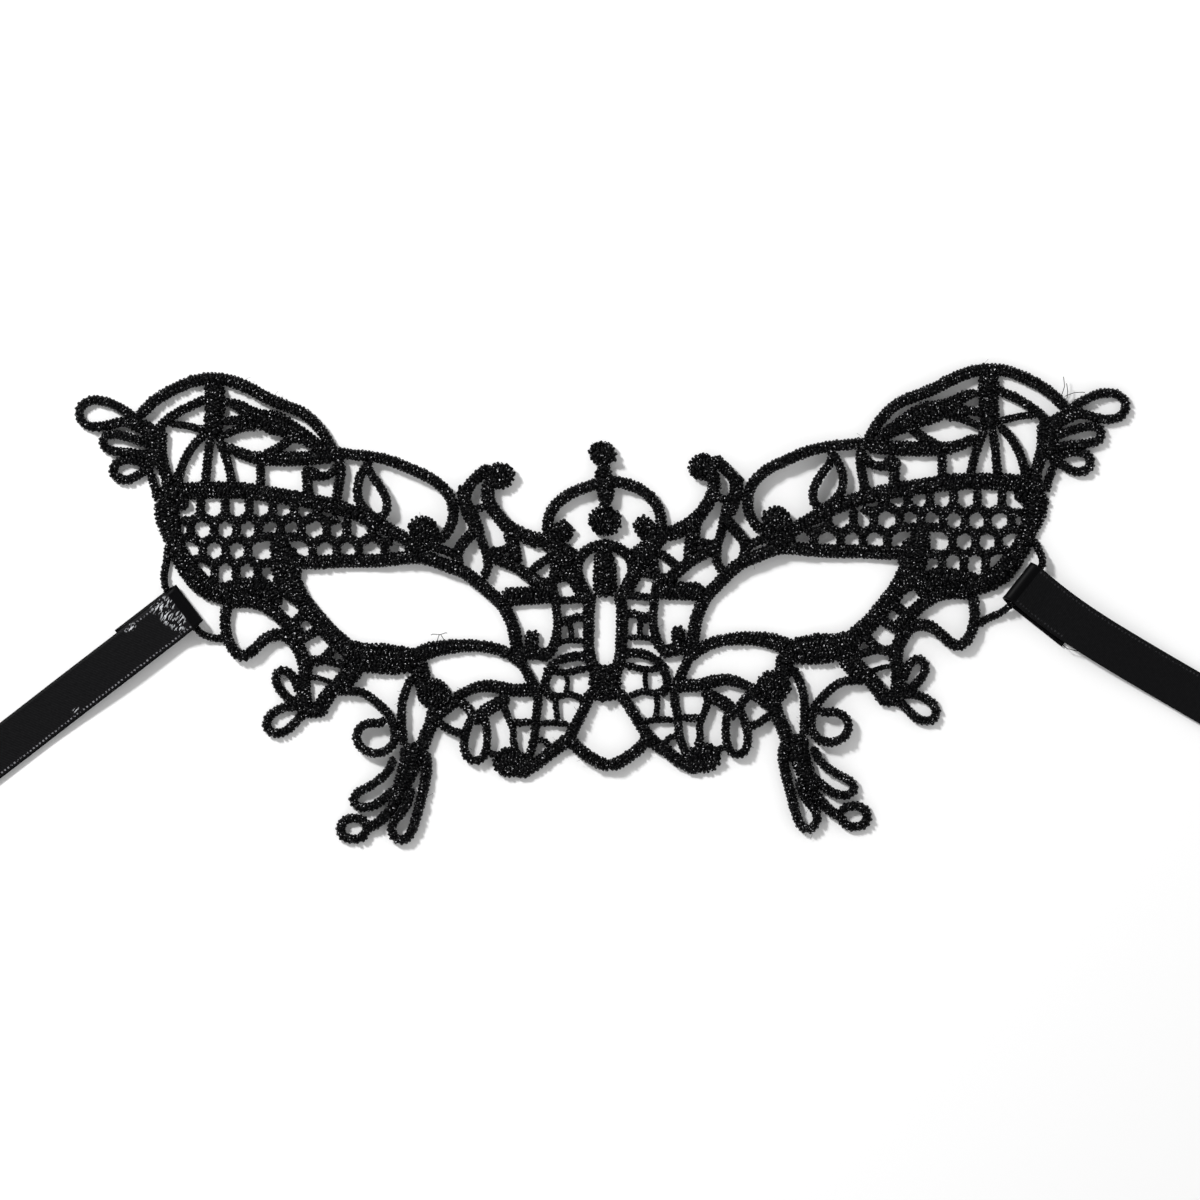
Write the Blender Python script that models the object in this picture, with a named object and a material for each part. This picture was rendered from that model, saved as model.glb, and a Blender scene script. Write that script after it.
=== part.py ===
# Lace half mask lying flat, with a satin ribbon tie folded round a loop at each side.
# The lace is one embroidered piece: every cord, bar and filled leaf is stitched into the next.
# Metres, +X along the mask's width, +Y from chin side to brow side, +Z up off the table.
import math
from collections import namedtuple

import bpy
import numpy as np
from mathutils import Vector
from mathutils.geometry import delaunay_2d_cdt

for thing in list(bpy.data.objects):
    bpy.data.objects.remove(thing, do_unlink=True)

# The lace, and the widths of its cords. Each strand's width is a share of one of these.
LACE_WIDTH = 0.2380
LACE_HEIGHT = 0.1098
RIM_CORD = 0.0029
LOOP_CORD = 0.0021
NET_THREAD = 0.00175
FINE_THREAD = 0.0013
BAND_CORD = 0.0040
LEAF_FILL = 0.0052

# Section of a cord: a flat back, low sides and a domed top that is higher on wide cords
CORD_EDGE = 0.0006
CORD_RISE = 0.34
RISE_LIMIT = 0.0009
BALL_RISE = 0.0013

# The ribbons, and the way they go round the side loops
RIBBON_WIDTH = 0.0100
RIBBON_THICK = 0.0010
RIBBON_FLAP = 0.0150
FLAP_SHIFT = 0.0008
RIBBON_SLOPE = 0.0100
FOLD_DROP = 0.0050
FOLD_ROOM = 0.0008
FOLD_SQUARENESS = 0.85
LOOP_SLOPE = 0.0034
CLEARANCE = 0.0003
LOOP_BASE = RIBBON_THICK + CLEARANCE

# The lace is charted on squares, as a lace pattern is: "out" counts squares from the centre
# line towards the wing, "up" counts them from the lowest stitch.
SQUARES_ACROSS = 105.8
SQUARES_UP = 48.8
SQUARE_X = LACE_WIDTH / SQUARES_ACROSS
SQUARE_Y = LACE_HEIGHT / SQUARES_UP

# The outline is worked out in millimetres, its turns in degrees
MM = 1000.0
WELD = 0.01
PINCH_FILL = 0.15
TURN_PER_STEP = 38.0
SHARPEST_CORNER = 0.7
OUTLINE_SLACK = 0.06
END_SIDES = 8
BALL_SIDES = 12

# Gaps under these areas, in square millimetres, are sewn shut
SMALLEST_GAP_AREA = 11.0
SMALLEST_NET_GAP_AREA = 8.0

# Points of the domed top, and the steps of the raised loops and of the ribbon's fold
RIDGE_WIDTH = 0.0019
RIDGE_SPACING = 0.0014
RIDGE_INSET = 0.0005
BALL_RING = 0.6
LIFT_REACH = 1.3
LOOP_STEP = 0.0015
TURN_STEPS = 8

Strand = namedtuple("Strand", "name cord start middle end route")
Ball = namedtuple("Ball", "name radius out up")
NetRow = namedtuple("NetRow", "top bottom bars")

# Strands of the left half. Start, middle and end are the strand's width in cords.
SIDE_STRANDS = (
    Strand("wing_loop_upper", LOOP_CORD, 1.1, 1.0, 1.1,
           ((46.4, 42.9), (47.9, 44.0), (49.6, 44.8), (51.2, 44.95), (52.3, 44.1), (52.1, 42.9),
            (50.9, 42.3), (49.3, 42.5), (47.9, 42.8), (46.4, 42.4))),
    Strand("wing_loop_middle", LOOP_CORD, 1.0, 1.0, 1.0,
           ((45.3, 40.5), (46.9, 41.1), (48.6, 41.55), (49.8, 41.35), (49.8, 40.3), (48.9, 39.9),
            (47.0, 39.7), (45.3, 39.4))),
    Strand("wing_loop_lower", LOOP_CORD, 1.0, 1.05, 1.0,
           ((45.1, 38.1), (46.3, 38.8), (47.7, 39.0), (48.7, 38.6), (48.9, 37.7), (48.3, 37.1),
            (47.3, 37.05), (46.1, 37.7), (45.1, 38.1))),
    Strand("wing_root_upper", BAND_CORD, 0.7, 0.9, 1.0, ((47.4, 42.65), (45.9, 42.3), (44.6, 41.4))),
    Strand("wing_root_spine", BAND_CORD, 1.0, 1.1, 0.9, ((45.4, 42.4), (44.9, 40.4), (44.7, 38.2))),
    Strand("wing_side", LOOP_CORD, 1.0, 0.95, 1.0, ((45.3, 37.7), (44.9, 36.6), (44.5, 35.0))),
    Strand("wing_pillar", BAND_CORD, 1.0, 0.8, 0.65,
           ((44.3, 42.0), (44.3, 40.0), (44.0, 38.5), (43.55, 37.0), (43.5, 35.4))),
    Strand("brow_arch_outer", RIM_CORD, 0.95, 1.05, 0.85,
           ((46.5, 43.2), (45.6, 44.15), (44.8, 44.9), (43.1, 45.95), (40.8, 46.9), (39.1, 47.1),
            (37.5, 46.95), (36.0, 46.45), (34.7, 45.8), (33.2, 45.0), (31.6, 44.35), (30.3, 43.85),
            (29.1, 43.0), (28.0, 41.7), (27.2, 40.4), (26.7, 39.2))),
    Strand("brow_arch_inner", LOOP_CORD, 1.05, 1.05, 1.05,
           ((44.7, 41.6), (43.8, 42.8), (42.5, 43.7), (41.4, 44.3), (39.6, 45.1))),
    Strand("brow_arch_third", LOOP_CORD, 0.85, 0.85, 0.9, ((43.4, 42.6), (42.0, 42.5), (39.6, 41.9))),
    Strand("flower_pillar", LEAF_FILL, 1.0, 0.95, 0.9,
           ((38.95, 46.7), (38.75, 45.0), (38.85, 43.2), (39.0, 41.2))),
    Strand("fan_outer", LOOP_CORD, 1.0, 1.05, 1.1,
           ((39.9, 41.5), (41.1, 40.2), (41.9, 38.8), (42.4, 37.3), (42.5, 35.8))),
    Strand("fan_middle", LOOP_CORD, 1.0, 1.0, 1.05, ((39.2, 41.2), (39.5, 39.0), (39.8, 36.0))),
    Strand("fan_inner", NET_THREAD, 0.95, 0.95, 1.05, ((38.4, 41.2), (37.5, 38.7), (36.9, 36.0))),
    Strand("fan_post", LOOP_CORD, 1.05, 1.0, 1.1, ((34.2, 38.9), (34.2, 37.4), (34.2, 35.8))),
    Strand("fan_stem", LOOP_CORD, 1.2, 1.15, 1.25, ((29.6, 38.2), (29.55, 37.0), (29.4, 35.2))),
    Strand("leaf_main", LEAF_FILL, 0.3, 1.15, 0.5,
           ((37.9, 44.85), (36.4, 44.4), (35.1, 43.5), (33.7, 42.9), (32.2, 42.5), (30.7, 41.7),
            (29.4, 41.0), (28.0, 40.1))),
    Strand("leaf_middle", LOOP_CORD, 1.0, 1.0, 1.6, ((38.2, 42.8), (36.8, 42.95), (35.0, 42.9))),
    Strand("leaf_fork", LOOP_CORD, 0.8, 0.9, 1.2,
           ((38.2, 41.3), (37.1, 41.75), (35.9, 42.25), (34.7, 42.45))),
    Strand("leaf_lower", BAND_CORD, 0.55, 0.95, 0.8,
           ((37.7, 40.4), (36.5, 39.8), (35.0, 39.25), (33.2, 39.15), (31.3, 39.1), (29.6, 39.15),
            (27.9, 39.3), (26.8, 39.4))),
    Strand("leaf_vein", LOOP_CORD, 1.0, 1.1, 1.2, ((33.9, 39.5), (32.4, 40.2), (31.2, 41.1), (30.4, 41.7))),
    Strand("hook_post", RIM_CORD, 0.8, 0.8, 0.85,
           ((26.8, 40.0), (26.4, 39.2), (26.2, 38.0), (26.35, 36.7), (26.7, 34.8))),
    Strand("hook", LOOP_CORD, 1.3, 0.95, 1.0, ((29.2, 37.6), (28.2, 37.35), (27.2, 37.6), (26.4, 38.5))),
    Strand("net_rim", BAND_CORD, 1.15, 0.95, 0.75,
           ((44.3, 35.25), (42.3, 35.75), (40.3, 35.95), (36.3, 35.95), (32.3, 35.4), (28.3, 34.7),
            (25.1, 33.8), (22.1, 32.4), (20.1, 31.3), (18.3, 30.1), (17.2, 29.0))),
    Strand("edge_block_upper", LEAF_FILL, 1.25, 1.15, 0.85,
           ((43.55, 35.0), (43.6, 33.8), (43.3, 32.3), (42.8, 30.7))),
    Strand("edge_block_lower", LEAF_FILL, 0.85, 1.0, 0.95,
           ((42.9, 30.9), (42.2, 29.3), (41.3, 27.9), (40.3, 26.7), (39.0, 25.9), (37.2, 25.4))),
    Strand("scallop", RIM_CORD, 0.85, 0.9, 1.2,
           ((37.6, 24.6), (37.75, 22.6), (37.4, 20.9), (36.7, 19.8), (35.9, 19.4), (35.1, 19.85),
            (34.2, 20.7), (33.4, 21.35), (32.5, 21.55), (31.6, 21.4), (30.7, 20.6), (30.0, 19.3),
            (29.55, 17.6))),
    Strand("scallop_arch", RIM_CORD, 1.4, 1.1, 1.1,
           ((37.6, 24.9), (36.0, 25.0), (34.3, 24.7), (33.1, 24.0), (32.0, 23.1), (30.9, 22.1),
            (30.0, 21.2))),
    Strand("knot_column", LEAF_FILL, 0.95, 1.0, 0.9,
           ((32.2, 31.2), (32.2, 29.4), (32.0, 27.6), (31.3, 26.0))),
    Strand("net_foot", LEAF_FILL, 0.8, 0.9, 0.9, ((38.2, 25.9), (35.8, 26.3), (33.2, 26.4))),
    Strand("brow_band", RIM_CORD, 1.15, 1.1, 1.05,
           ((31.9, 28.9), (29.3, 28.75), (26.3, 28.9), (23.3, 28.9), (21.3, 29.05), (19.3, 29.25),
            (17.5, 29.15), (15.8, 28.5), (14.1, 27.9), (12.8, 27.0), (11.4, 25.8), (10.2, 24.7),
            (9.4, 23.4), (8.9, 22.0), (8.6, 20.4), (8.3, 19.2))),
    Strand("cheek_band", BAND_CORD, 1.15, 1.1, 1.2,
           ((31.2, 27.2), (30.1, 25.0), (28.3, 22.8), (26.9, 21.3), (25.3, 20.0))),
    Strand("cheek_leaf", LEAF_FILL, 1.15, 1.45, 1.15,
           ((25.9, 20.1), (24.0, 19.3), (22.0, 19.15), (20.2, 19.0), (18.6, 19.2))),
    Strand("eye_under", RIM_CORD, 1.5, 0.95, 1.0,
           ((18.9, 19.3), (17.2, 20.0), (15.2, 20.35), (13.2, 20.45), (11.3, 20.25), (9.8, 19.8),
            (8.7, 19.2), (7.9, 18.5))),
    Strand("cheek_bar_1", NET_THREAD, 0.9, 0.9, 0.9, ((31.6, 22.4), (30.6, 22.9), (29.6, 23.9))),
    Strand("cheek_bar_2", NET_THREAD, 0.95, 0.85, 0.95, ((30.4, 20.9), (29.2, 21.6), (28.0, 22.3))),
    Strand("cheek_bar_3", NET_THREAD, 0.9, 0.75, 0.9,
           ((30.2, 19.0), (28.3, 18.95), (27.3, 19.8), (26.6, 20.6))),
    Strand("cheek_bar_4", FINE_THREAD, 0.9, 0.85, 1.1, ((28.0, 19.0), (26.9, 18.75), (25.6, 18.4))),
    Strand("cheek_link", LEAF_FILL, 0.9, 0.95, 0.95, ((24.4, 18.6), (25.3, 17.5), (26.4, 16.4))),
    Strand("knot_left", BAND_CORD, 0.8, 0.85, 0.9,
           ((29.7, 18.2), (29.9, 16.8), (29.8, 15.2), (29.5, 13.9))),
    Strand("knot_right", BAND_CORD, 0.9, 0.95, 1.0,
           ((26.3, 16.9), (27.2, 15.8), (28.0, 14.7), (28.5, 13.9))),
    Strand("knot_base", BAND_CORD, 0.8, 0.9, 0.8, ((30.4, 13.95), (28.9, 13.9), (27.7, 14.1))),
    Strand("knot_bar", FINE_THREAD, 0.9, 0.85, 1.0, ((29.3, 17.35), (28.2, 17.15), (26.9, 16.7))),
    Strand("pair_loop_upper", LOOP_CORD, 1.05, 1.0, 1.0,
           ((30.0, 15.4), (31.0, 14.9), (32.1, 15.85), (32.65, 16.8), (32.55, 17.7), (31.9, 18.0),
            (31.2, 17.6), (30.8, 16.9), (30.4, 15.9))),
    Strand("pair_loop_lower", LOOP_CORD, 1.05, 1.0, 1.0,
           ((30.0, 14.2), (31.1, 14.4), (32.3, 14.1), (33.3, 13.4), (33.6, 12.5), (33.1, 11.8),
            (32.1, 11.75), (31.2, 12.3), (30.5, 13.1), (29.9, 13.6))),
    Strand("curl", LOOP_CORD, 1.0, 1.0, 1.0,
           ((26.6, 15.9), (25.5, 15.9), (24.4, 15.85), (23.4, 15.4), (22.5, 14.7), (21.6, 13.8),
            (21.0, 12.8), (20.75, 11.7), (20.95, 10.7), (21.6, 10.0), (22.7, 9.7), (23.7, 9.95),
            (24.4, 10.6), (24.6, 11.5), (24.2, 12.3), (23.3, 12.75), (22.4, 12.7), (21.6, 13.0))),
    Strand("stalk_left", LOOP_CORD, 1.0, 1.0, 1.1,
           ((19.1, 17.3), (19.7, 16.0), (20.1, 14.4), (20.1, 12.6), (19.95, 10.6))),
    Strand("stalk_right", RIM_CORD, 1.1, 1.15, 1.2,
           ((16.9, 14.4), (17.05, 12.9), (17.7, 11.4), (18.2, 10.0))),
    Strand("stalk_knot", BAND_CORD, 1.1, 1.2, 0.8, ((18.4, 18.9), (18.2, 17.4), (17.9, 16.0))),
    Strand("tassel_body", LEAF_FILL, 1.5, 1.3, 0.8,
           ((19.1, 10.7), (19.1, 9.2), (19.6, 7.7), (20.15, 6.2), (20.8, 5.0))),
    Strand("tassel_right", LOOP_CORD, 1.3, 1.0, 1.0,
           ((17.8, 9.9), (17.6, 8.2), (17.9, 6.3), (18.3, 4.6), (18.8, 2.8), (19.3, 1.6),
            (20.1, 1.0), (20.9, 1.4), (21.1, 2.3), (20.7, 3.1), (20.0, 3.9), (19.4, 5.0), (19.2, 6.2))),
    Strand("tassel_finger", LOOP_CORD, 1.0, 0.95, 1.1,
           ((20.9, 9.3), (21.4, 8.0), (22.3, 7.1), (23.4, 6.35), (24.45, 5.8), (24.95, 5.0),
            (24.4, 4.35), (23.3, 4.35), (22.3, 4.85), (21.4, 5.6), (20.6, 6.2))),
    Strand("tassel_tail", LOOP_CORD, 1.2, 1.2, 1.1, ((20.5, 5.1), (21.4, 3.8), (22.5, 2.75), (23.5, 2.2))),
    Strand("tassel_ring", LOOP_CORD, 1.0, 1.05, 1.0,
           ((23.5, 2.2), (23.9, 2.95), (24.8, 3.2), (25.8, 3.0), (26.25, 2.1), (25.9, 1.35),
            (24.9, 1.1), (24.0, 1.4), (23.5, 2.2))),
    Strand("lower_rim", RIM_CORD, 0.7, 1.05, 1.15,
           ((15.4, 15.1), (14.2, 15.6), (13.1, 16.1), (11.9, 16.4), (10.4, 16.3), (9.1, 16.0),
            (7.8, 16.0), (6.4, 16.0))),
    Strand("heart_upper", NET_THREAD, 1.0, 1.0, 1.0,
           ((16.8, 13.2), (15.9, 13.8), (15.1, 14.5), (14.2, 14.8), (13.5, 14.2), (13.0, 13.5), (12.6, 12.8))),
    Strand("heart_lower", NET_THREAD, 0.9, 0.85, 0.95,
           ((16.7, 12.9), (15.7, 12.3), (14.8, 11.85), (13.7, 11.65))),
    Strand("heart_loop", LOOP_CORD, 1.0, 0.95, 0.9,
           ((13.1, 13.4), (13.5, 12.4), (13.8, 11.3), (13.85, 10.2), (13.5, 9.3), (12.7, 8.95),
            (11.9, 9.4), (11.6, 10.5), (11.6, 12.0), (11.8, 13.2))),
    Strand("heart_leaf", RIM_CORD, 1.1, 1.15, 1.0,
           ((9.4, 15.3), (10.4, 14.7), (11.5, 14.1), (12.3, 13.4), (12.65, 12.6))),
    Strand("heart_tie", LOOP_CORD, 0.8, 0.8, 0.8, ((11.6, 9.9), (11.0, 9.6), (10.2, 9.4))),
    Strand("stem_curve", NET_THREAD, 0.9, 0.75, 0.9,
           ((10.0, 14.9), (9.7, 13.8), (9.3, 12.9), (8.95, 11.9), (8.95, 10.8), (8.6, 9.8))),
    Strand("bar_left", NET_THREAD, 0.9, 0.85, 0.9, ((9.2, 12.8), (8.2, 12.75), (7.1, 12.85))),
    Strand("stem", LOOP_CORD, 1.1, 0.95, 1.0,
           ((6.5, 16.0), (6.5, 14.6), (6.7, 13.2), (6.8, 11.8), (7.0, 10.6), (7.4, 9.4), (7.8, 8.6))),
    Strand("bar_right", FINE_THREAD, 1.1, 1.1, 1.1, ((6.4, 12.65), (5.0, 12.75), (3.4, 12.6))),
    Strand("bar_upright", FINE_THREAD, 1.0, 1.0, 1.1, ((4.7, 15.4), (4.7, 14.2), (4.5, 12.8))),
    Strand("bar_cross", FINE_THREAD, 1.1, 1.0, 1.1, ((6.9, 10.9), (6.0, 11.0), (5.2, 10.2))),
    Strand("cusp_leaf", RIM_CORD, 1.2, 1.0, 1.2,
           ((3.2, 11.3), (4.3, 10.45), (5.4, 9.65), (6.5, 8.75), (7.7, 8.1), (8.9, 7.8))),
    Strand("nose_spur", RIM_CORD, 0.85, 0.85, 0.95,
           ((8.4, 19.4), (7.9, 18.3), (7.3, 17.2), (6.8, 16.2))),
    Strand("shelf", BAND_CORD, 0.9, 0.95, 1.0, ((10.0, 25.3), (8.0, 25.4), (6.4, 25.5), (4.9, 25.6))),
    Strand("shelf_post", LOOP_CORD, 1.2, 0.95, 1.4,
           ((5.2, 26.8), (4.85, 25.4), (4.65, 24.0), (4.55, 22.6), (4.7, 21.2), (5.1, 20.1), (5.8, 19.4))),
    Strand("shelf_floor", BAND_CORD, 0.8, 0.85, 0.8, ((8.6, 19.6), (7.1, 19.7), (5.2, 19.4))),
    Strand("shelf_nub", RIM_CORD, 1.0, 0.95, 1.1, ((7.1, 21.2), (7.1, 20.3), (7.1, 19.4))),
    Strand("inner_stem", LOOP_CORD, 1.2, 1.0, 1.2,
           ((4.6, 18.9), (5.3, 18.0), (5.7, 17.0), (5.75, 16.0), (5.0, 15.3))),
    Strand("bud_bar_top", FINE_THREAD, 1.2, 1.1, 1.3, ((5.2, 17.9), (3.8, 17.75), (2.6, 18.0))),
    Strand("bud_bar_mid", FINE_THREAD, 0.9, 0.85, 1.0, ((3.7, 17.9), (3.55, 16.7), (3.7, 15.6))),
    Strand("bud_bar_low", FINE_THREAD, 1.2, 1.1, 1.3,
           ((5.6, 15.7), (4.4, 15.4), (3.2, 15.55), (1.9, 15.0))),
    Strand("bud_cap", LOOP_CORD, 1.0, 1.1, 1.1, ((4.7, 18.8), (3.7, 19.2), (2.6, 19.4), (1.4, 19.3))),
    Strand("bud_slit", FINE_THREAD, 1.0, 0.9, 1.0, ((5.0, 20.2), (4.3, 20.75), (3.2, 20.95), (2.0, 20.9))),
    Strand("bud_post", FINE_THREAD, 1.0, 1.0, 1.0, ((3.5, 23.1), (3.2, 22.0), (3.2, 20.9))),
    Strand("bud_beam", NET_THREAD, 1.2, 0.9, 0.9, ((4.6, 22.9), (3.6, 22.9), (2.6, 23.3), (1.6, 23.2))),
    Strand("nose_beam", LOOP_CORD, 0.9, 0.85, 1.0, ((4.9, 24.9), (3.7, 24.95), (2.4, 25.1), (1.2, 25.2))),
    Strand("nose_tie", FINE_THREAD, 1.1, 1.1, 1.2, ((5.2, 26.8), (4.2, 27.1), (3.0, 27.2))),
    Strand("temple_post", LOOP_CORD, 1.1, 1.1, 1.1, ((4.7, 29.4), (4.8, 28.0), (5.1, 26.8))),
    Strand("temple_roof", LOOP_CORD, 1.3, 1.2, 1.2, ((5.6, 31.0), (5.2, 30.0), (4.2, 29.3), (3.0, 28.9))),
    Strand("temple_floor", LOOP_CORD, 1.0, 1.0, 1.0, ((7.5, 27.6), (6.9, 28.1), (6.2, 28.7), (5.0, 29.4))),
    Strand("temple_base", BAND_CORD, 0.7, 0.8, 0.7, ((7.3, 27.0), (6.1, 26.6), (5.0, 26.7))),
    Strand("horn_left", RIM_CORD, 1.0, 1.0, 1.0,
           ((11.4, 38.3), (12.5, 37.3), (13.3, 36.5), (13.75, 35.5), (13.6, 34.5), (13.0, 33.5),
            (12.6, 32.4), (12.3, 31.3))),
    Strand("horn_right", RIM_CORD, 1.1, 1.1, 1.3,
           ((10.9, 37.4), (11.5, 36.0), (11.4, 34.8), (10.7, 33.7), (9.8, 32.6), (8.8, 31.9),
            (7.6, 31.3), (6.2, 30.8))),
    Strand("horn_bar", LOOP_CORD, 0.9, 0.9, 0.9, ((13.1, 34.0), (12.2, 34.2), (11.2, 34.7))),
    Strand("horn_foot_left", RIM_CORD, 1.0, 0.95, 0.9,
           ((12.6, 32.3), (13.3, 31.4), (14.1, 30.5), (14.6, 29.5), (14.3, 28.2))),
    Strand("horn_foot_mid", LOOP_CORD, 1.1, 1.1, 1.0,
           ((12.3, 31.6), (12.0, 30.6), (11.6, 29.6), (11.5, 28.3), (12.0, 27.1))),
    Strand("horn_foot_right", RIM_CORD, 1.0, 1.0, 1.0,
           ((11.6, 29.6), (10.6, 29.1), (9.6, 28.7), (8.6, 28.2), (7.4, 27.4), (6.4, 26.8))),
    Strand("horn_cheek", RIM_CORD, 1.2, 1.1, 1.0, ((9.4, 32.2), (9.1, 31.0), (8.8, 29.8), (8.6, 28.4))),
    Strand("horn_saddle", LOOP_CORD, 1.0, 0.9, 0.9, ((11.3, 30.0), (10.5, 29.9), (9.6, 30.2), (8.9, 30.8))),
    Strand("shoulder_loop", RIM_CORD, 0.9, 0.95, 0.85,
           ((26.7, 39.8), (25.3, 39.55), (23.8, 39.4), (22.0, 39.1), (20.3, 38.55), (18.8, 37.9),
            (17.3, 37.2), (16.3, 36.5), (15.4, 35.5), (15.0, 34.4), (14.95, 33.2), (15.3, 32.2),
            (16.2, 31.1), (17.2, 30.9))),
    Strand("teardrop_loop", LOOP_CORD, 1.0, 1.0, 1.0,
           ((23.2, 39.0), (24.0, 37.8), (24.5, 36.4), (24.3, 34.8), (23.4, 33.7), (22.5, 33.2),
            (21.7, 33.7), (21.6, 35.0), (22.3, 36.4), (23.2, 37.6), (23.5, 38.6))),
    Strand("shoulder_tie", LOOP_CORD, 1.1, 1.0, 1.0,
           ((17.6, 30.6), (16.6, 30.2), (15.4, 29.8), (14.6, 29.4))),
    Strand("horn_web", LOOP_CORD, 1.0, 1.1, 0.9, ((14.2, 36.3), (13.9, 34.4), (13.2, 32.5))),
    Strand("cheek_corner", LEAF_FILL, 0.8, 0.8, 0.6, ((32.0, 26.3), (31.1, 25.7), (30.4, 24.8))),
    Strand("net_corner", BAND_CORD, 0.9, 0.9, 0.9, ((42.6, 34.7), (41.4, 34.6))),
)

# Balls of stitching on the left half
SIDE_BALLS = (
    Ball("hook_ball", 0.0019, 29.2, 37.6),
    Ball("shoulder_ball", 0.0034, 17.9, 32.0),
    Ball("horn_ball", 0.0033, 10.35, 37.4),
    Ball("stalk_ball", 0.0038, 16.9, 15.6),
    Ball("fan_ball", 0.0037, 9.3, 8.8),
    Ball("fan_ball_small", 0.0028, 8.1, 8.4),
)

# The net of the cheek: each row lies between two cross threads and has uprights at these squares
NET_ROWS = (
    NetRow(35.3, 33.1, (40.2, 37.75, 35.35, 33.0, 30.85, 28.6)),
    NetRow(33.1, 31.0, (41.2, 38.85, 36.6, 34.4, 32.2, 30.1, 27.6, 25.6, 23.1)),
    NetRow(31.0, 28.9, (40.0, 37.7, 35.45, 29.0, 26.6, 24.4, 21.75, 19.35)),
    NetRow(28.9, 26.9, (38.8, 36.65, 34.5)),
)
# Cross threads of the net: squares up, and the squares out where each one starts and ends
NET_LINES = ((33.1, 42.2, 26.4), (31.0, 42.2, 21.0), (28.9, 41.4, 32.0))
NET_WAVE = 0.28

# Strands that cross or touch the centre line. Squares past the centre line are below zero.
CENTRE_STRANDS = (
    Strand("crown_stem", BAND_CORD, 0.95, 1.2, 0.85,
           ((0.1, 38.4), (-0.1, 37.2), (-0.3, 36.0), (-0.25, 34.4))),
    Strand("crown_arch_left", RIM_CORD, 0.95, 0.95, 0.9,
           ((0.0, 36.9), (1.3, 36.4), (2.3, 36.05), (3.3, 35.6), (4.3, 34.9), (5.1, 34.0),
            (5.5, 32.9), (5.5, 31.7), (5.2, 30.6))),
    Strand("crown_arch_right", RIM_CORD, 0.95, 0.95, 0.9,
           ((-0.4, 36.9), (-1.7, 36.75), (-2.8, 36.45), (-3.8, 36.0), (-4.8, 35.2), (-5.5, 34.2),
            (-5.8, 33.0), (-5.8, 31.9), (-5.5, 30.8))),
    Strand("crown_curl_left", BAND_CORD, 0.9, 1.05, 0.8, ((5.3, 30.9), (4.2, 31.7), (3.3, 32.6))),
    Strand("crown_curl_right", BAND_CORD, 0.9, 1.0, 0.8, ((-5.4, 31.1), (-4.3, 32.0), (-3.6, 33.2))),
    Strand("hood", RIM_CORD, 0.95, 0.9, 0.95,
           ((1.3, 25.0), (2.0, 26.2), (2.6, 27.8), (2.3, 29.2), (1.3, 30.15), (-0.1, 30.5),
            (-1.5, 30.2), (-2.6, 29.3), (-3.0, 28.0), (-2.4, 26.5), (-1.7, 25.1))),
    Strand("hood_drop", LEAF_FILL, 0.9, 1.15, 1.1,
           ((-0.1, 30.0), (-0.15, 28.4), (-0.2, 27.0), (-0.2, 25.4))),
    Strand("crown_floor_left", BAND_CORD, 0.6, 0.7, 0.6, ((4.9, 30.6), (3.9, 30.2), (2.6, 29.5))),
    Strand("crown_floor_right", BAND_CORD, 0.6, 0.7, 0.6, ((-5.2, 30.8), (-4.2, 30.4), (-2.9, 29.6))),
    Strand("nose_side_left", RIM_CORD, 1.0, 0.95, 1.1,
           ((1.1, 25.7), (1.4, 24.2), (1.45, 22.0), (1.4, 20.0), (1.1, 18.6), (0.5, 17.3))),
    Strand("nose_side_right", RIM_CORD, 1.0, 1.0, 1.1,
           ((-1.5, 25.7), (-1.9, 24.2), (-1.9, 22.0), (-1.8, 20.0), (-1.6, 18.7), (-1.1, 17.4))),
    Strand("nose_knot", LEAF_FILL, 1.1, 1.3, 1.1, ((-0.3, 17.6), (-0.2, 16.5), (-0.15, 15.6))),
    Strand("cusp_left_upper", RIM_CORD, 1.0, 0.9, 1.05,
           ((1.2, 16.0), (1.6, 14.8), (2.2, 13.5), (2.9, 12.2), (3.4, 11.1))),
    Strand("cusp_left_lower", RIM_CORD, 1.05, 1.05, 1.1,
           ((3.4, 11.3), (2.6, 10.3), (1.6, 9.5), (0.5, 8.85), (-0.6, 8.4))),
    Strand("cusp_right_lower", RIM_CORD, 1.1, 1.0, 1.05,
           ((-0.6, 8.4), (-1.7, 8.85), (-2.8, 9.55), (-3.8, 10.4), (-4.6, 11.4))),
    Strand("cusp_right_upper", RIM_CORD, 1.0, 0.9, 1.05,
           ((-1.5, 16.0), (-2.4, 14.7), (-3.2, 13.4), (-3.9, 12.3), (-4.6, 11.3))),
)

CENTRE_BALLS = (
    Ball("crown_ball", 0.0031, 0.05, 39.6),
    Ball("crown_drop", 0.0037, -0.2, 32.9),
)

# How the right half lies against the mirrored left one: squares moved to the right and up
LAY_OUT = (5.0, 13.0, 22.0, 32.0, 42.0, 52.0)
LAY_UP = (5.0, 15.0, 25.0, 35.0, 45.0)
LAY_RIGHT = (
    (1.0, 0.9, 0.2, 0.1, 0.0, 0.0),
    (0.7, 0.5, -0.2, -0.4, -0.4, -0.4),
    (0.4, -0.1, -0.8, -0.8, -0.6, -0.4),
    (0.0, -0.5, -0.6, -0.3, -0.3, -0.2),
    (0.0, -0.6, -0.7, -0.4, -0.2, -0.1),
)
LAY_RAISED = (
    (0.3, 0.6, 1.2, 1.3, 1.2, 1.0),
    (0.3, 0.7, 1.0, 1.2, 1.0, 0.8),
    (0.35, 0.7, 1.0, 0.9, 0.9, 0.6),
    (0.7, 1.0, 1.0, 1.0, 0.8, 0.8),
    (0.5, 1.0, 1.0, 1.0, 0.9, 0.7),
)


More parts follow.
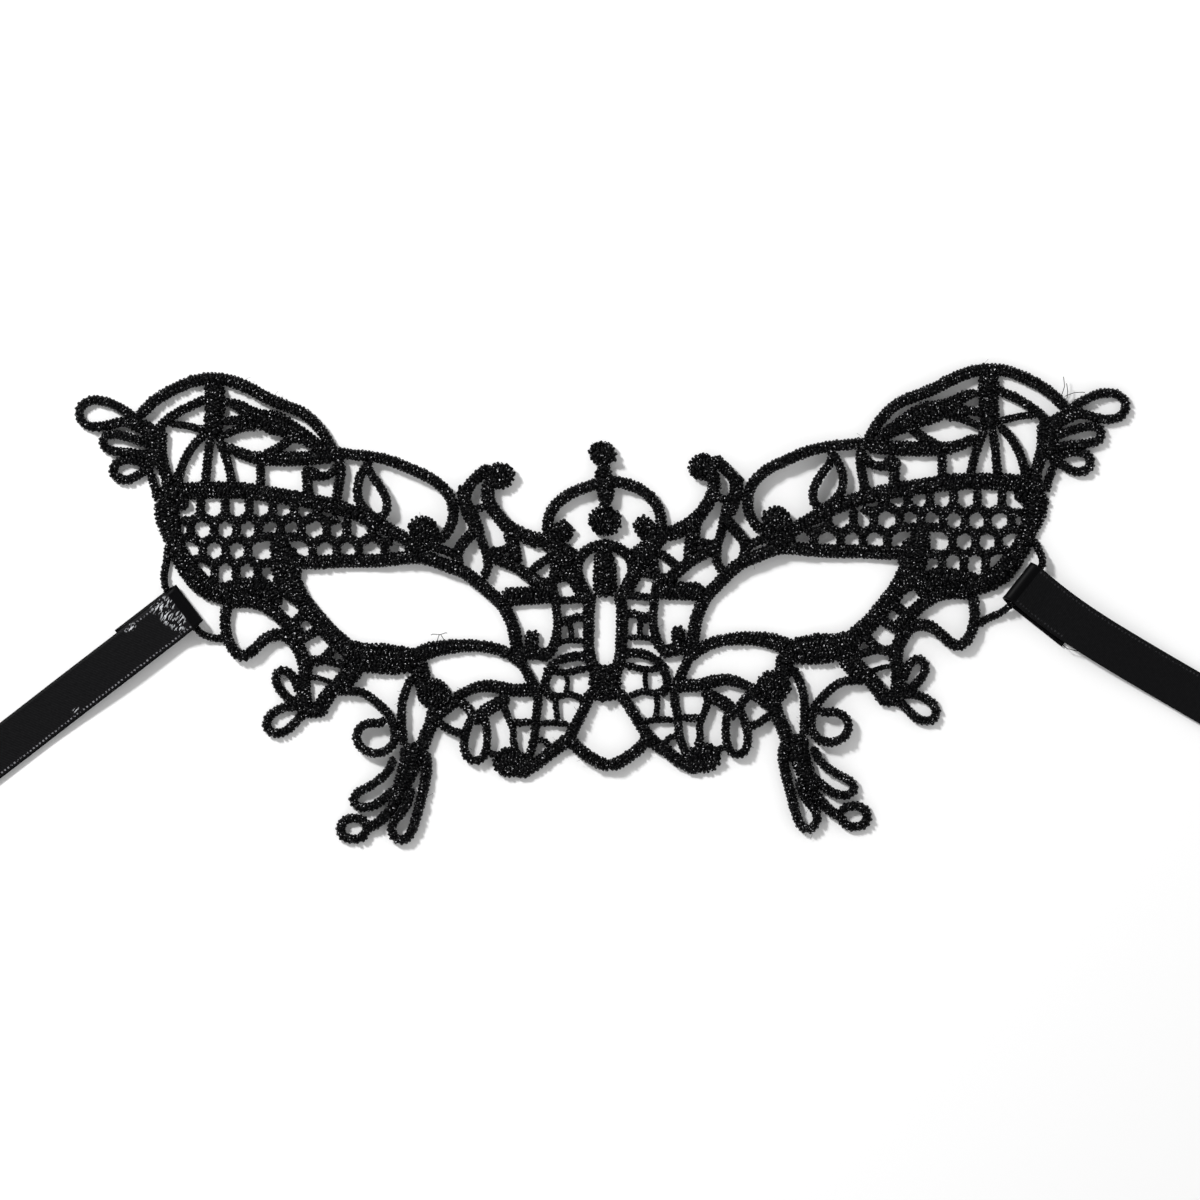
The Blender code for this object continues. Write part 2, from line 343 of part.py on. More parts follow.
def lay_cell(value, marks):
    """Index of the chart cell that holds value, and how far through it the value lies."""
    value = min(max(value, marks[0]), marks[-1])
    for index in range(len(marks) - 1):
        if value <= marks[index + 1]:
            break
    return index, (value - marks[index]) / (marks[index + 1] - marks[index])


def lay_value(table, out, up):
    """Reads one of the lay tables between its marks."""
    column, across = lay_cell(out, LAY_OUT)
    row, along = lay_cell(up, LAY_UP)
    low = table[row][column] * (1 - across) + table[row][column + 1] * across
    high = table[row + 1][column] * (1 - across) + table[row + 1][column + 1] * across
    return low * (1 - along) + high * along


def lay_point(out, up, side):
    """Chart squares to table metres: side -1 is the left half or the centre, +1 the right half."""
    if side < 0:
        return Vector((-out * SQUARE_X, up * SQUARE_Y))
    return Vector(((out + lay_value(LAY_RIGHT, out, up)) * SQUARE_X,
                   (up + lay_value(LAY_RAISED, out, up)) * SQUARE_Y))


def smooth_route(points):
    """Points along a Catmull-Rom curve, with more of them where the curve turns."""
    count = len(points)
    route = []
    for index in range(count - 1):
        before = points[index - 1] if index > 0 else points[index] * 2 - points[index + 1]
        after = points[index + 2] if index + 2 < count else points[index + 1] * 2 - points[index]
        first, second = points[index], points[index + 1]
        turn = 0.0
        for legs in ((first - before, second - first), (second - first, after - second)):
            turn += abs(legs[0].angle(legs[1], 0.0)) / 2
        steps = max(1, round(math.degrees(turn) / TURN_PER_STEP))
        for step in range(steps):
            t = step / steps
            route.append(0.5 * (2 * first + (second - before) * t
                                + (2 * before - 5 * first + 4 * second - after) * t * t
                                + (3 * first - before - 3 * second + after) * t * t * t))
    route.append(points[-1])
    return route


def strand_widths(strand, count):
    """Width at each of count points, from the strand's start, middle and end shares."""
    widths = []
    for index in range(count):
        t = index / (count - 1)
        low, high = (strand.start, strand.middle) if t < 0.5 else (strand.middle, strand.end)
        share = 2 * t if t < 0.5 else 2 * t - 1
        widths.append(strand.cord * (low + (high - low) * share))
    return widths


def net_strands():
    """Cross threads and uprights of the cheek net, a honeycomb whose cross threads wave."""
    strands = []
    for number, (up, start, end) in enumerate(NET_LINES):
        above, below = NET_ROWS[number].bars, NET_ROWS[number + 1].bars
        marks = [(out, up + NET_WAVE) for out in above] + [(out, up - NET_WAVE) for out in below]
        marks = [mark for mark in marks if end < mark[0] < start]
        route = [(start, up)] + sorted(marks, reverse=True) + [(end, up)]
        strands.append(Strand("net_line_%d" % number, NET_THREAD, 1.0, 1.0, 1.0, tuple(route)))
    for number, row in enumerate(NET_ROWS):
        for out in row.bars:
            route = ((out, row.top + 0.1), (out, row.bottom - 0.1))
            strands.append(Strand("net_upright_%d" % number, NET_THREAD, 1.0, 0.95, 1.0, route))
    return strands


# The side loops that carry the ribbons. They rise clear of the table where the ribbon folds round them.
TIE_LOOP_LEFT = Strand("tie_loop_left", LOOP_CORD, 0.95, 0.72, 0.95,
                       ((43.4, 30.6), (43.6, 29.0), (43.85, 27.4), (43.63, 26.18), (42.8, 25.1),
                        (41.95, 24.0), (41.1, 22.9), (40.27, 21.82), (39.3, 21.3), (38.3, 21.15),
                        (37.5, 21.3)))
TIE_LOOP_RIGHT = Strand("tie_loop_right", LOOP_CORD, 0.95, 0.72, 0.95,
                        ((-42.9, 31.2), (-43.5, 30.1), (-43.9, 28.66), (-43.07, 27.6), (-42.2, 26.5),
                         (-41.33, 25.4), (-40.5, 24.34), (-39.5, 23.6), (-38.3, 23.1), (-37.3, 22.4)))

Tie = namedtuple("Tie", "name loop flap_side route")
# Each tie: the side loop that it is folded round, the side its flap peeks out on, and its route in
# squares from the middle of the fold to the cut end
TIES = (
    Tie("ribbon_left", TIE_LOOP_LEFT, -1.0,
           ((41.95, 24.0), (47.6, 19.65), (53.3, 15.3), (59.0, 10.9), (64.6, 6.6))),
    Tie("ribbon_right", TIE_LOOP_RIGHT, -1.0,
        ((-42.2, 26.5), (-45.5, 23.9), (-48.6, 21.75), (-52.6, 19.3), (-58.6, 15.8), (-64.3, 12.5))),
)


def spaced(route, step):
    """The route with points added so that none of its legs is longer than step."""
    points = []
    for start, end in zip(route, route[1:]):
        parts = max(1, math.ceil((end - start).length / step))
        points += [start.lerp(end, part / parts) for part in range(parts)]
    return points + [route[-1]]


def rise_of(width):
    """How far a cord's middle stands above its edges."""
    return min(CORD_RISE * width, RISE_LIMIT)


def lifted(route, crossing, half_span):
    """Underside height along a side loop: raised over the ribbon's flap, on the table elsewhere."""
    heights = []
    for point in route:
        beyond = (point - crossing).length - half_span
        share = min(max(1.0 - beyond / LOOP_SLOPE, 0.0), 1.0)
        heights.append(LOOP_BASE * share * share * (3 - 2 * share))
    return heights


def tie_loop(tie):
    """Side loop of one tie, as a strand."""
    route = spaced(smooth_route([lay_point(out, up, -1) for out, up in tie.loop.route]), LOOP_STEP)
    crossing = lay_point(*tie.route[0], -1)
    heights = lifted(route, crossing, RIBBON_WIDTH / 2 + FLAP_SHIFT + CLEARANCE)
    return route, strand_widths(tie.loop, len(route)), heights


def all_strands():
    """Every strand as (route in metres, widths, underside heights)."""
    result = []
    for strand in list(SIDE_STRANDS) + net_strands():
        for side in (-1, 1):
            route = smooth_route([lay_point(out, up, side) for out, up in strand.route])
            result.append((route, strand_widths(strand, len(route)), [0.0] * len(route)))
    for strand in CENTRE_STRANDS:
        route = smooth_route([lay_point(out, up, -1) for out, up in strand.route])
        result.append((route, strand_widths(strand, len(route)), [0.0] * len(route)))
    result += [tie_loop(tie) for tie in TIES]
    return result


def all_balls():
    """Every ball of stitching as (centre in metres, radius)."""
    result = [(lay_point(ball.out, ball.up, -1), ball.radius) for ball in CENTRE_BALLS]
    for ball in SIDE_BALLS:
        for side in (-1, 1):
            result.append((lay_point(ball.out, ball.up, side), ball.radius))
    return result


def ring(centre, radius, sides, turn=0.0):
    """Corners of a regular polygon, counter-clockwise."""
    angles = [turn + math.tau * index / sides for index in range(sides)]
    return [centre + Vector((math.cos(angle), math.sin(angle))) * radius for angle in angles]


def cross(origin, first, second):
    """Twice the area of a corner, positive when it turns to the left."""
    return ((first.x - origin.x) * (second.y - origin.y)
            - (first.y - origin.y) * (second.x - origin.x))


def hull(points):
    """Convex outline of a few points, counter-clockwise."""
    ordered = sorted(points, key=lambda point: (point.x, point.y))
    outline = []
    for run in (ordered, ordered[::-1]):
        chain = []
        for point in run:
            while len(chain) > 1 and cross(chain[-2], chain[-1], point) <= 0:
                chain.pop()
            chain.append(point)
        outline += chain[:-1]
    return outline


def strand_sides(route, widths):
    """Left and right edge points of a strand at each point of its route."""
    sides = []
    for index, point in enumerate(route):
        before, after = route[max(index - 1, 0)], route[min(index + 1, len(route) - 1)]
        into = (point - before).normalized() if index else (after - point).normalized()
        out = (after - point).normalized() if index < len(route) - 1 else into
        along = (into + out).normalized()
        reach = widths[index] / 2 / max(along.dot(into), SHARPEST_CORNER)
        across = Vector((-along.y, along.x)) * reach
        sides.append((point + across, point - across))
    return sides


def cover_polygons(strands, balls):
    """Convex outlines, in millimetres, that together cover the lace."""
    pieces = []
    for route, widths, _ in strands:
        sides = strand_sides(route, widths)
        for near, far in zip(sides, sides[1:]):
            pieces.append(hull([near[0], near[1], far[0], far[1]]))
        for end, beside, width in ((route[0], route[1], widths[0]), (route[-1], route[-2], widths[-1])):
            turn = math.atan2(end.y - beside.y, end.x - beside.x) + math.pi / 2
            pieces.append(ring(end, width / 2, END_SIDES, turn))
    for centre, radius in balls:
        pieces.append(ring(centre, radius, BALL_SIDES))
    return [[point * MM for point in piece] for piece in pieces]


def constrained(runs, extra):
    """Triangles over all closed runs of points, and the middles of the triangles."""
    points, edges = [], []
    for run in runs:
        first, count = len(points), len(run)
        edges += [(first + index, first + (index + 1) % count) for index in range(count)]
        points += run
    verts, _, triangles, _, _, _ = delaunay_2d_cdt(points + extra, edges, [], 0, WELD)
    places = np.array([(vert.x, vert.y) for vert in verts])
    spots = places[np.array(triangles)].mean(axis=1)
    return verts, triangles, spots


def union_edges(pieces):
    """Directed outline edges of the union of the convex pieces, and their points."""
    verts, triangles, spots = constrained(pieces, [])
    covered = np.zeros(len(triangles), dtype=bool)
    for piece in pieces:
        within = np.ones(len(triangles), dtype=bool)
        for start, end in zip(piece, piece[1:] + piece[:1]):
            within &= ((end.x - start.x) * (spots[:, 1] - start.y)
                       >= (end.y - start.y) * (spots[:, 0] - start.x))
        covered |= within
    inside = set()
    for triangle, keep in zip(triangles, covered):
        if keep:
            inside.update(zip(triangle, triangle[1:] + triangle[:1]))
    return verts, [edge for edge in inside if (edge[1], edge[0]) not in inside]


def outline_loops(pieces):
    """Closed outlines of the union; places where it only touches itself are filled first."""
    for _ in range(4):
        verts, edges = union_edges(pieces)
        following = {}
        for start, end in edges:
            following.setdefault(start, []).append(end)
        pinched = [start for start, ends in following.items() if len(ends) > 1]
        if not pinched:
            break
        pieces = pieces + [ring(verts[start], PINCH_FILL, END_SIDES) for start in pinched]
    loops = []
    while following:
        start = next(iter(following))
        loop, here = [], start
        while here in following:
            loop.append(verts[here])
            here = following.pop(here)[0]
        loops.append(loop)
    return loops


def loop_area(loop):
    """Signed area, positive for an outer edge."""
    return sum(a.x * b.y - a.y * b.x for a, b in zip(loop, loop[1:] + loop[:1])) / 2


def smallest_gap(loop):
    """Area under which a gap is sewn shut: the net's own cells may be smaller than other gaps."""
    middle = sum(loop, Vector((0.0, 0.0))) / len(loop) / MM
    up, out = middle.y / SQUARE_Y, abs(middle.x) / SQUARE_X
    in_net = NET_ROWS[-1].bottom < up < NET_ROWS[0].top and out > NET_LINES[1][2]
    return SMALLEST_NET_GAP_AREA if in_net else SMALLEST_GAP_AREA


def off_line(point, start, end):
    """Distance of a point from the line through start and end."""
    span = end - start
    if span.length < WELD:
        return (point - start).length
    return abs(cross(start, end, point)) / span.length


def eased(points, slack, kept):
    """Drops the points of an open run that lie within slack of the line they sit on."""
    worst, where = 0.0, 0
    for index in range(1, len(points) - 1):
        gap = off_line(points[index], points[0], points[-1])
        if kept(points[index]):
            gap += slack
        if gap > worst:
            worst, where = gap, index
    if worst <= slack:
        return [points[0]]
    return eased(points[:where + 1], slack, kept) + eased(points[where:], slack, kept)


def eased_loop(loop, slack, kept):
    """The same for a closed outline, split at its two farthest points."""
    first = min(range(len(loop)), key=lambda index: (loop[index].x, loop[index].y))
    loop = loop[first:] + loop[:first]
    second = max(range(len(loop)), key=lambda index: (loop[index] - loop[0]).length)
    closed = loop + loop[:1]
    return eased(closed[:second + 1], slack, kept) + eased(closed[second:], slack, kept)


def along_strand(point, strand):
    """Distance from a strand's middle line in half widths, width and underside height there."""
    route, widths, lifts = strand
    best = (1e9, widths[0], lifts[0])
    for index in range(len(route) - 1):
        start, span = route[index], route[index + 1] - route[index]
        t = min(max((point - start).dot(span) / span.length_squared, 0.0), 1.0)
        width = widths[index] + (widths[index + 1] - widths[index]) * t
        away = (point - start - span * t).length / (width / 2)
        if away < best[0]:
            best = (away, width, lifts[index] + (lifts[index + 1] - lifts[index]) * t)
    return best


def lift_at(point, raised):
    """Underside height of the lace at a point."""
    lift = 0.0
    for strand in raised:
        away, _, base = along_strand(point, strand)
        if away < LIFT_REACH:
            lift = max(lift, base)
    return lift


def top_at(point, strands, balls):
    """Height of the lace's upper face above its underside at a point."""
    height = 0.0
    for strand in strands:
        away, width, _ = along_strand(point, strand)
        if away < 1.0:
            height = max(height, rise_of(width) * (1 - away * away))
    for centre, radius in balls:
        away = (point - centre).length / radius
        if away < 1.0:
            height = max(height, BALL_RISE * (1 - away * away))
    return CORD_EDGE + height


def ridge_points(strands, balls, loops):
    """Points along the middles of the wider cords and over the balls, clear of the outline."""
    wanted = []
    for centre, radius in balls:
        wanted += [centre] + ring(centre, radius * BALL_RING, BALL_SIDES // 2)
    for route, widths, _ in sorted(strands, key=lambda strand: -max(strand[1])):
        wanted += [point for point, width in zip(route, widths) if width > RIDGE_WIDTH]
    edges = [(a / MM, b / MM) for loop in loops for a, b in zip(loop, loop[1:] + loop[:1])]
    chosen = []
    for point in wanted:
        if any((point - other).length < RIDGE_SPACING for other in chosen):
            continue
        if all(edge_distance(point, start, end) > RIDGE_INSET for start, end in edges):
            chosen.append(point)
    return chosen


def edge_distance(point, start, end):
    """Distance of a point from an edge."""
    span = end - start
    t = min(max((point - start).dot(span) / span.length_squared, 0.0), 1.0)
    return (point - start - span * t).length


def filled(loops, extra):
    """Triangles inside the outer loop and outside its holes, with the extra points in them."""
    verts, triangles, spots = constrained(loops, extra)
    odd = np.zeros(len(triangles), dtype=bool)
    for loop in loops:
        for start, end in zip(loop, loop[1:] + loop[:1]):
            level = (start.y > spots[:, 1]) != (end.y > spots[:, 1])
            if level.any():
                meets = start.x + (end.x - start.x) * (spots[:, 1] - start.y) / (end.y - start.y)
                odd ^= level & (spots[:, 0] < meets)
    return verts, [tuple(triangle) for triangle, keep in zip(triangles, odd) if keep]


def make_object(name, verts, faces, material):
    """Closed body with its faces out."""
    mesh = bpy.data.meshes.new(name)
    mesh.from_pydata([tuple(vert) for vert in verts], [], faces)
    mesh.materials.append(material)
    mesh.validate()
    mesh.update()
    body = bpy.data.objects.new(name, mesh)
    bpy.context.collection.objects.link(body)
    return body


def make_material(name, colour, roughness):
    """Plain surface for one piece."""
    material = bpy.data.materials.new(name)
    material.use_nodes = True
    shader = material.node_tree.nodes["Principled BSDF"]
    shader.inputs["Base Color"].default_value = (*colour, 1.0)
    shader.inputs["Roughness"].default_value = roughness
    return material


def build_lace(material):
    """The embroidered panel with its gaps cut through."""
    strands, balls = all_strands(), all_balls()
    raised = [strand for strand in strands if max(strand[2]) > 0]
    loops = outline_loops(cover_polygons(strands, balls))
    loops = [loop for loop in loops if abs(loop_area(loop)) > smallest_gap(loop)]
    loops = [eased_loop(loop, OUTLINE_SLACK, lambda point: lift_at(point / MM, raised) > 0)
             for loop in loops]
    loops.sort(key=loop_area, reverse=True)
    ridge = ridge_points(strands, balls, loops)
    rim = [point for loop in loops for point in loop]
    verts, top = filled(loops, [point * MM for point in ridge])
    _, bottom = filled(loops, [])
    count = len(rim)
    solid = []
    for index, vert in enumerate(verts):
        point = vert / MM
        lift = lift_at(point, raised)
        height = CORD_EDGE if index < count else top_at(point, strands, balls)
        solid.append((point.x, point.y, lift + height))
    base = len(solid)
    for vert in rim:
        solid.append((vert.x / MM, vert.y / MM, lift_at(vert / MM, raised)))
    faces = list(top)
    faces += [tuple(base + index for index in reversed(triangle)) for triangle in bottom]
    offset = 0
    for loop in loops:
        for index in range(len(loop)):
            a, b = offset + index, offset + (index + 1) % len(loop)
            faces += [(base + a, base + b, b), (base + a, b, a)]
        offset += len(loop)
    return make_object("lace_panel", solid, faces, material)


def ribbon_levels(tie):
    """Mid heights of the ribbon's flap and fold top, and the straight and curved reach of its fold."""
    _, widths, heights = tie_loop(tie)
    cord = max(width for width, height in zip(widths, heights) if height > LOOP_BASE - WELD / MM)
    long_part = LOOP_BASE + CORD_EDGE + rise_of(cord) + CLEARANCE + RIBBON_THICK / 2
    straight = cord / 4
    return RIBBON_THICK / 2, long_part, straight, cord / 2 - straight + FOLD_ROOM + RIBBON_THICK / 2


def build_ribbon(tie, material):
    """Satin tie: a short flap below, a fold round the side loop and the long part above."""
    flap_level, long_level, straight, reach = ribbon_levels(tie)
    rest_level = flap_level + RIBBON_THICK + CLEARANCE
    route = smooth_route([lay_point(out, up, -1) for out, up in tie.route])
    heading = (route[1] - route[0]).normalized()
    side = Vector((-heading.y, heading.x))
    sections = []
    for back in (RIBBON_FLAP, RIBBON_FLAP / 2, 0.0):
        centre = route[0] + heading * back + side * FLAP_SHIFT * tie.flap_side
        sections.append((centre, side, flap_level, Vector((-heading.x, -heading.y, 0.0))))
    middle, half = (flap_level + long_level) / 2, (long_level - flap_level) / 2
    for step in range(1, TURN_STEPS):
        angle = math.pi * step / TURN_STEPS
        rise = math.copysign(abs(math.cos(angle)) ** FOLD_SQUARENESS, math.cos(angle))
        bulge = math.sin(angle) ** FOLD_SQUARENESS
        shift = FLAP_SHIFT * tie.flap_side * (1 - step / TURN_STEPS)
        centre = route[0] - heading * (straight + reach * bulge) + side * shift
        run = Vector((-heading.x * reach * math.cos(angle), -heading.y * reach * math.cos(angle),
                      half * math.sin(angle))).normalized()
        sections.append((centre, side, middle - half * rise, run))
    sections.append((route[0], side, long_level, Vector((heading.x, heading.y, 0.0))))
    for centre, ahead, gone in long_stations(route):
        level = long_height(gone, long_level, rest_level, flap_level)
        slope = (long_height(gone + CLEARANCE, long_level, rest_level, flap_level)
                 - long_height(gone - CLEARANCE, long_level, rest_level, flap_level)) / (2 * CLEARANCE)
        run = Vector((ahead.x, ahead.y, slope)).normalized()
        sections.append((centre, Vector((-ahead.y, ahead.x)), level, run))
    verts = []
    for centre, side_way, level, run in sections:
        across = Vector((side_way.x, side_way.y, 0.0))
        lift = run.cross(across).normalized() * RIBBON_THICK / 2
        middle_point = Vector((centre.x, centre.y, level))
        for way, rise in ((1, 1), (-1, 1), (-1, -1), (1, -1)):
            verts.append(middle_point + across * way * RIBBON_WIDTH / 2 + lift * rise)
    faces = [(3, 2, 1, 0)]
    for index in range(len(sections) - 1):
        start = 4 * index
        for corner in range(4):
            other = (corner + 1) % 4
            faces.append((start + corner, start + other, start + 4 + other, start + 4 + corner))
    last = 4 * (len(sections) - 1)
    faces.append((last, last + 1, last + 2, last + 3))
    return make_object(tie.name, verts, faces, material)


def long_stations(route):
    """Points along the long part with their headings and distances from the fold."""
    marks = [FOLD_DROP * share for share in (0.35, 0.7, 1.0)]
    marks += [RIBBON_FLAP + CLEARANCE + RIBBON_SLOPE * share for share in (0.0, 0.25, 0.5, 0.75, 1.0)]
    lengths = [0.0]
    for a, b in zip(route, route[1:]):
        lengths.append(lengths[-1] + (b - a).length)
    marks += [length for length in lengths if length > marks[-1] + FOLD_DROP]
    stations = []
    for mark in marks:
        index = max(i for i in range(len(lengths) - 1) if lengths[i] <= mark)
        share = (mark - lengths[index]) / (lengths[index + 1] - lengths[index])
        centre = route[index].lerp(route[index + 1], share)
        leg = (route[index + 1] - route[index]).normalized()
        if share < 1e-6 and index:
            leg = (leg + (route[index] - route[index - 1]).normalized()).normalized()
        stations.append((centre, leg, mark))
    return stations


def long_height(gone, long_level, rest_level, flap_level):
    """Mid height of the long part: down onto the flap, along it, then down to the table."""
    def ease(share):
        share = min(max(share, 0.0), 1.0)
        return share * share * (3 - 2 * share)
    height = long_level + (rest_level - long_level) * ease(gone / FOLD_DROP)
    beyond = (gone - RIBBON_FLAP - CLEARANCE) / RIBBON_SLOPE
    return height + (flap_level - rest_level) * ease(beyond)


def seat_on_origin(bodies):
    """Moves every body so that the middle of the whole underside is the origin."""
    corners = [vert.co for body in bodies for vert in body.data.vertices]
    low = [min(corner[axis] for corner in corners) for axis in range(3)]
    high = [max(corner[axis] for corner in corners) for axis in range(3)]
    shift = Vector(((low[0] + high[0]) / -2, (low[1] + high[1]) / -2, -low[2]))
    for body in bodies:
        for vert in body.data.vertices:
            vert.co += shift
    return shift


thread = make_material("black_thread", (0.012, 0.012, 0.013), 0.42)
satin = make_material("black_satin", (0.020, 0.020, 0.022), 0.34)
lace = build_lace(thread)
ribbons = [build_ribbon(tie, satin) for tie in TIES]
seat_on_origin([lace] + ribbons)
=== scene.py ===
# Dressed model of a lace half mask that lies flat, with a satin ribbon folded round a loop at each side.
# Every cord of the lace is a padded core with satin stitches over it. The CAD frame stays where it is.
import math
import bpy
import numpy as np
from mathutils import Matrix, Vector


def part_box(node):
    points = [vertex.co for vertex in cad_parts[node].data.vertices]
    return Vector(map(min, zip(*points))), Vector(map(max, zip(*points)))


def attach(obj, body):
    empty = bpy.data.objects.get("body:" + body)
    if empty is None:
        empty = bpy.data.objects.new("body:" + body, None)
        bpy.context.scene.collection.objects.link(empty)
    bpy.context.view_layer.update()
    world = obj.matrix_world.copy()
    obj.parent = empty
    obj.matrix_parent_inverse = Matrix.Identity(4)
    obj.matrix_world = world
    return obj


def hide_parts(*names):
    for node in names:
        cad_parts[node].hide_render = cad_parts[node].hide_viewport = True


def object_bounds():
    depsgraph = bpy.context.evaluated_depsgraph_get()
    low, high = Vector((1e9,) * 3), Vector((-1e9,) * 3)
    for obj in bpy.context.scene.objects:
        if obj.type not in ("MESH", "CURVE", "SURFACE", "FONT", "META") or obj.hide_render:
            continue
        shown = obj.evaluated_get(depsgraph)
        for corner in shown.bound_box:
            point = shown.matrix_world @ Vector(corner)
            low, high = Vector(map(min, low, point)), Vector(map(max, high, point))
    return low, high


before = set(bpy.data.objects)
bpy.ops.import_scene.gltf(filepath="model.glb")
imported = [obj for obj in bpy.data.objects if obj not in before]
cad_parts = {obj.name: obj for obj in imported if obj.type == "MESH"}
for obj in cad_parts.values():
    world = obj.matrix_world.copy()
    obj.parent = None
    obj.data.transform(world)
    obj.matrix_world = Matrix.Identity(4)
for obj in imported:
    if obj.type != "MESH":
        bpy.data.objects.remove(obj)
cadLow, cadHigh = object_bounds()
panelLow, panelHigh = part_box("lace_panel")
dice = np.random.default_rng(23)
print("frame loaded")

# How the lace is charted: squares out from the centre line, and squares up from the lowest stitch
chart = {
    "squareX": 0.2380 / 105.8,
    "squareY": 0.1098 / 48.8,
    "cords": {"rim": 0.0030, "loop": 0.0022, "net": 0.0023, "fine": 0.0015, "band": 0.0040, "leaf": 0.0052},
    "endReach": 0.8,  # round ends, in half widths
    "endBlunt": 0.15,
}

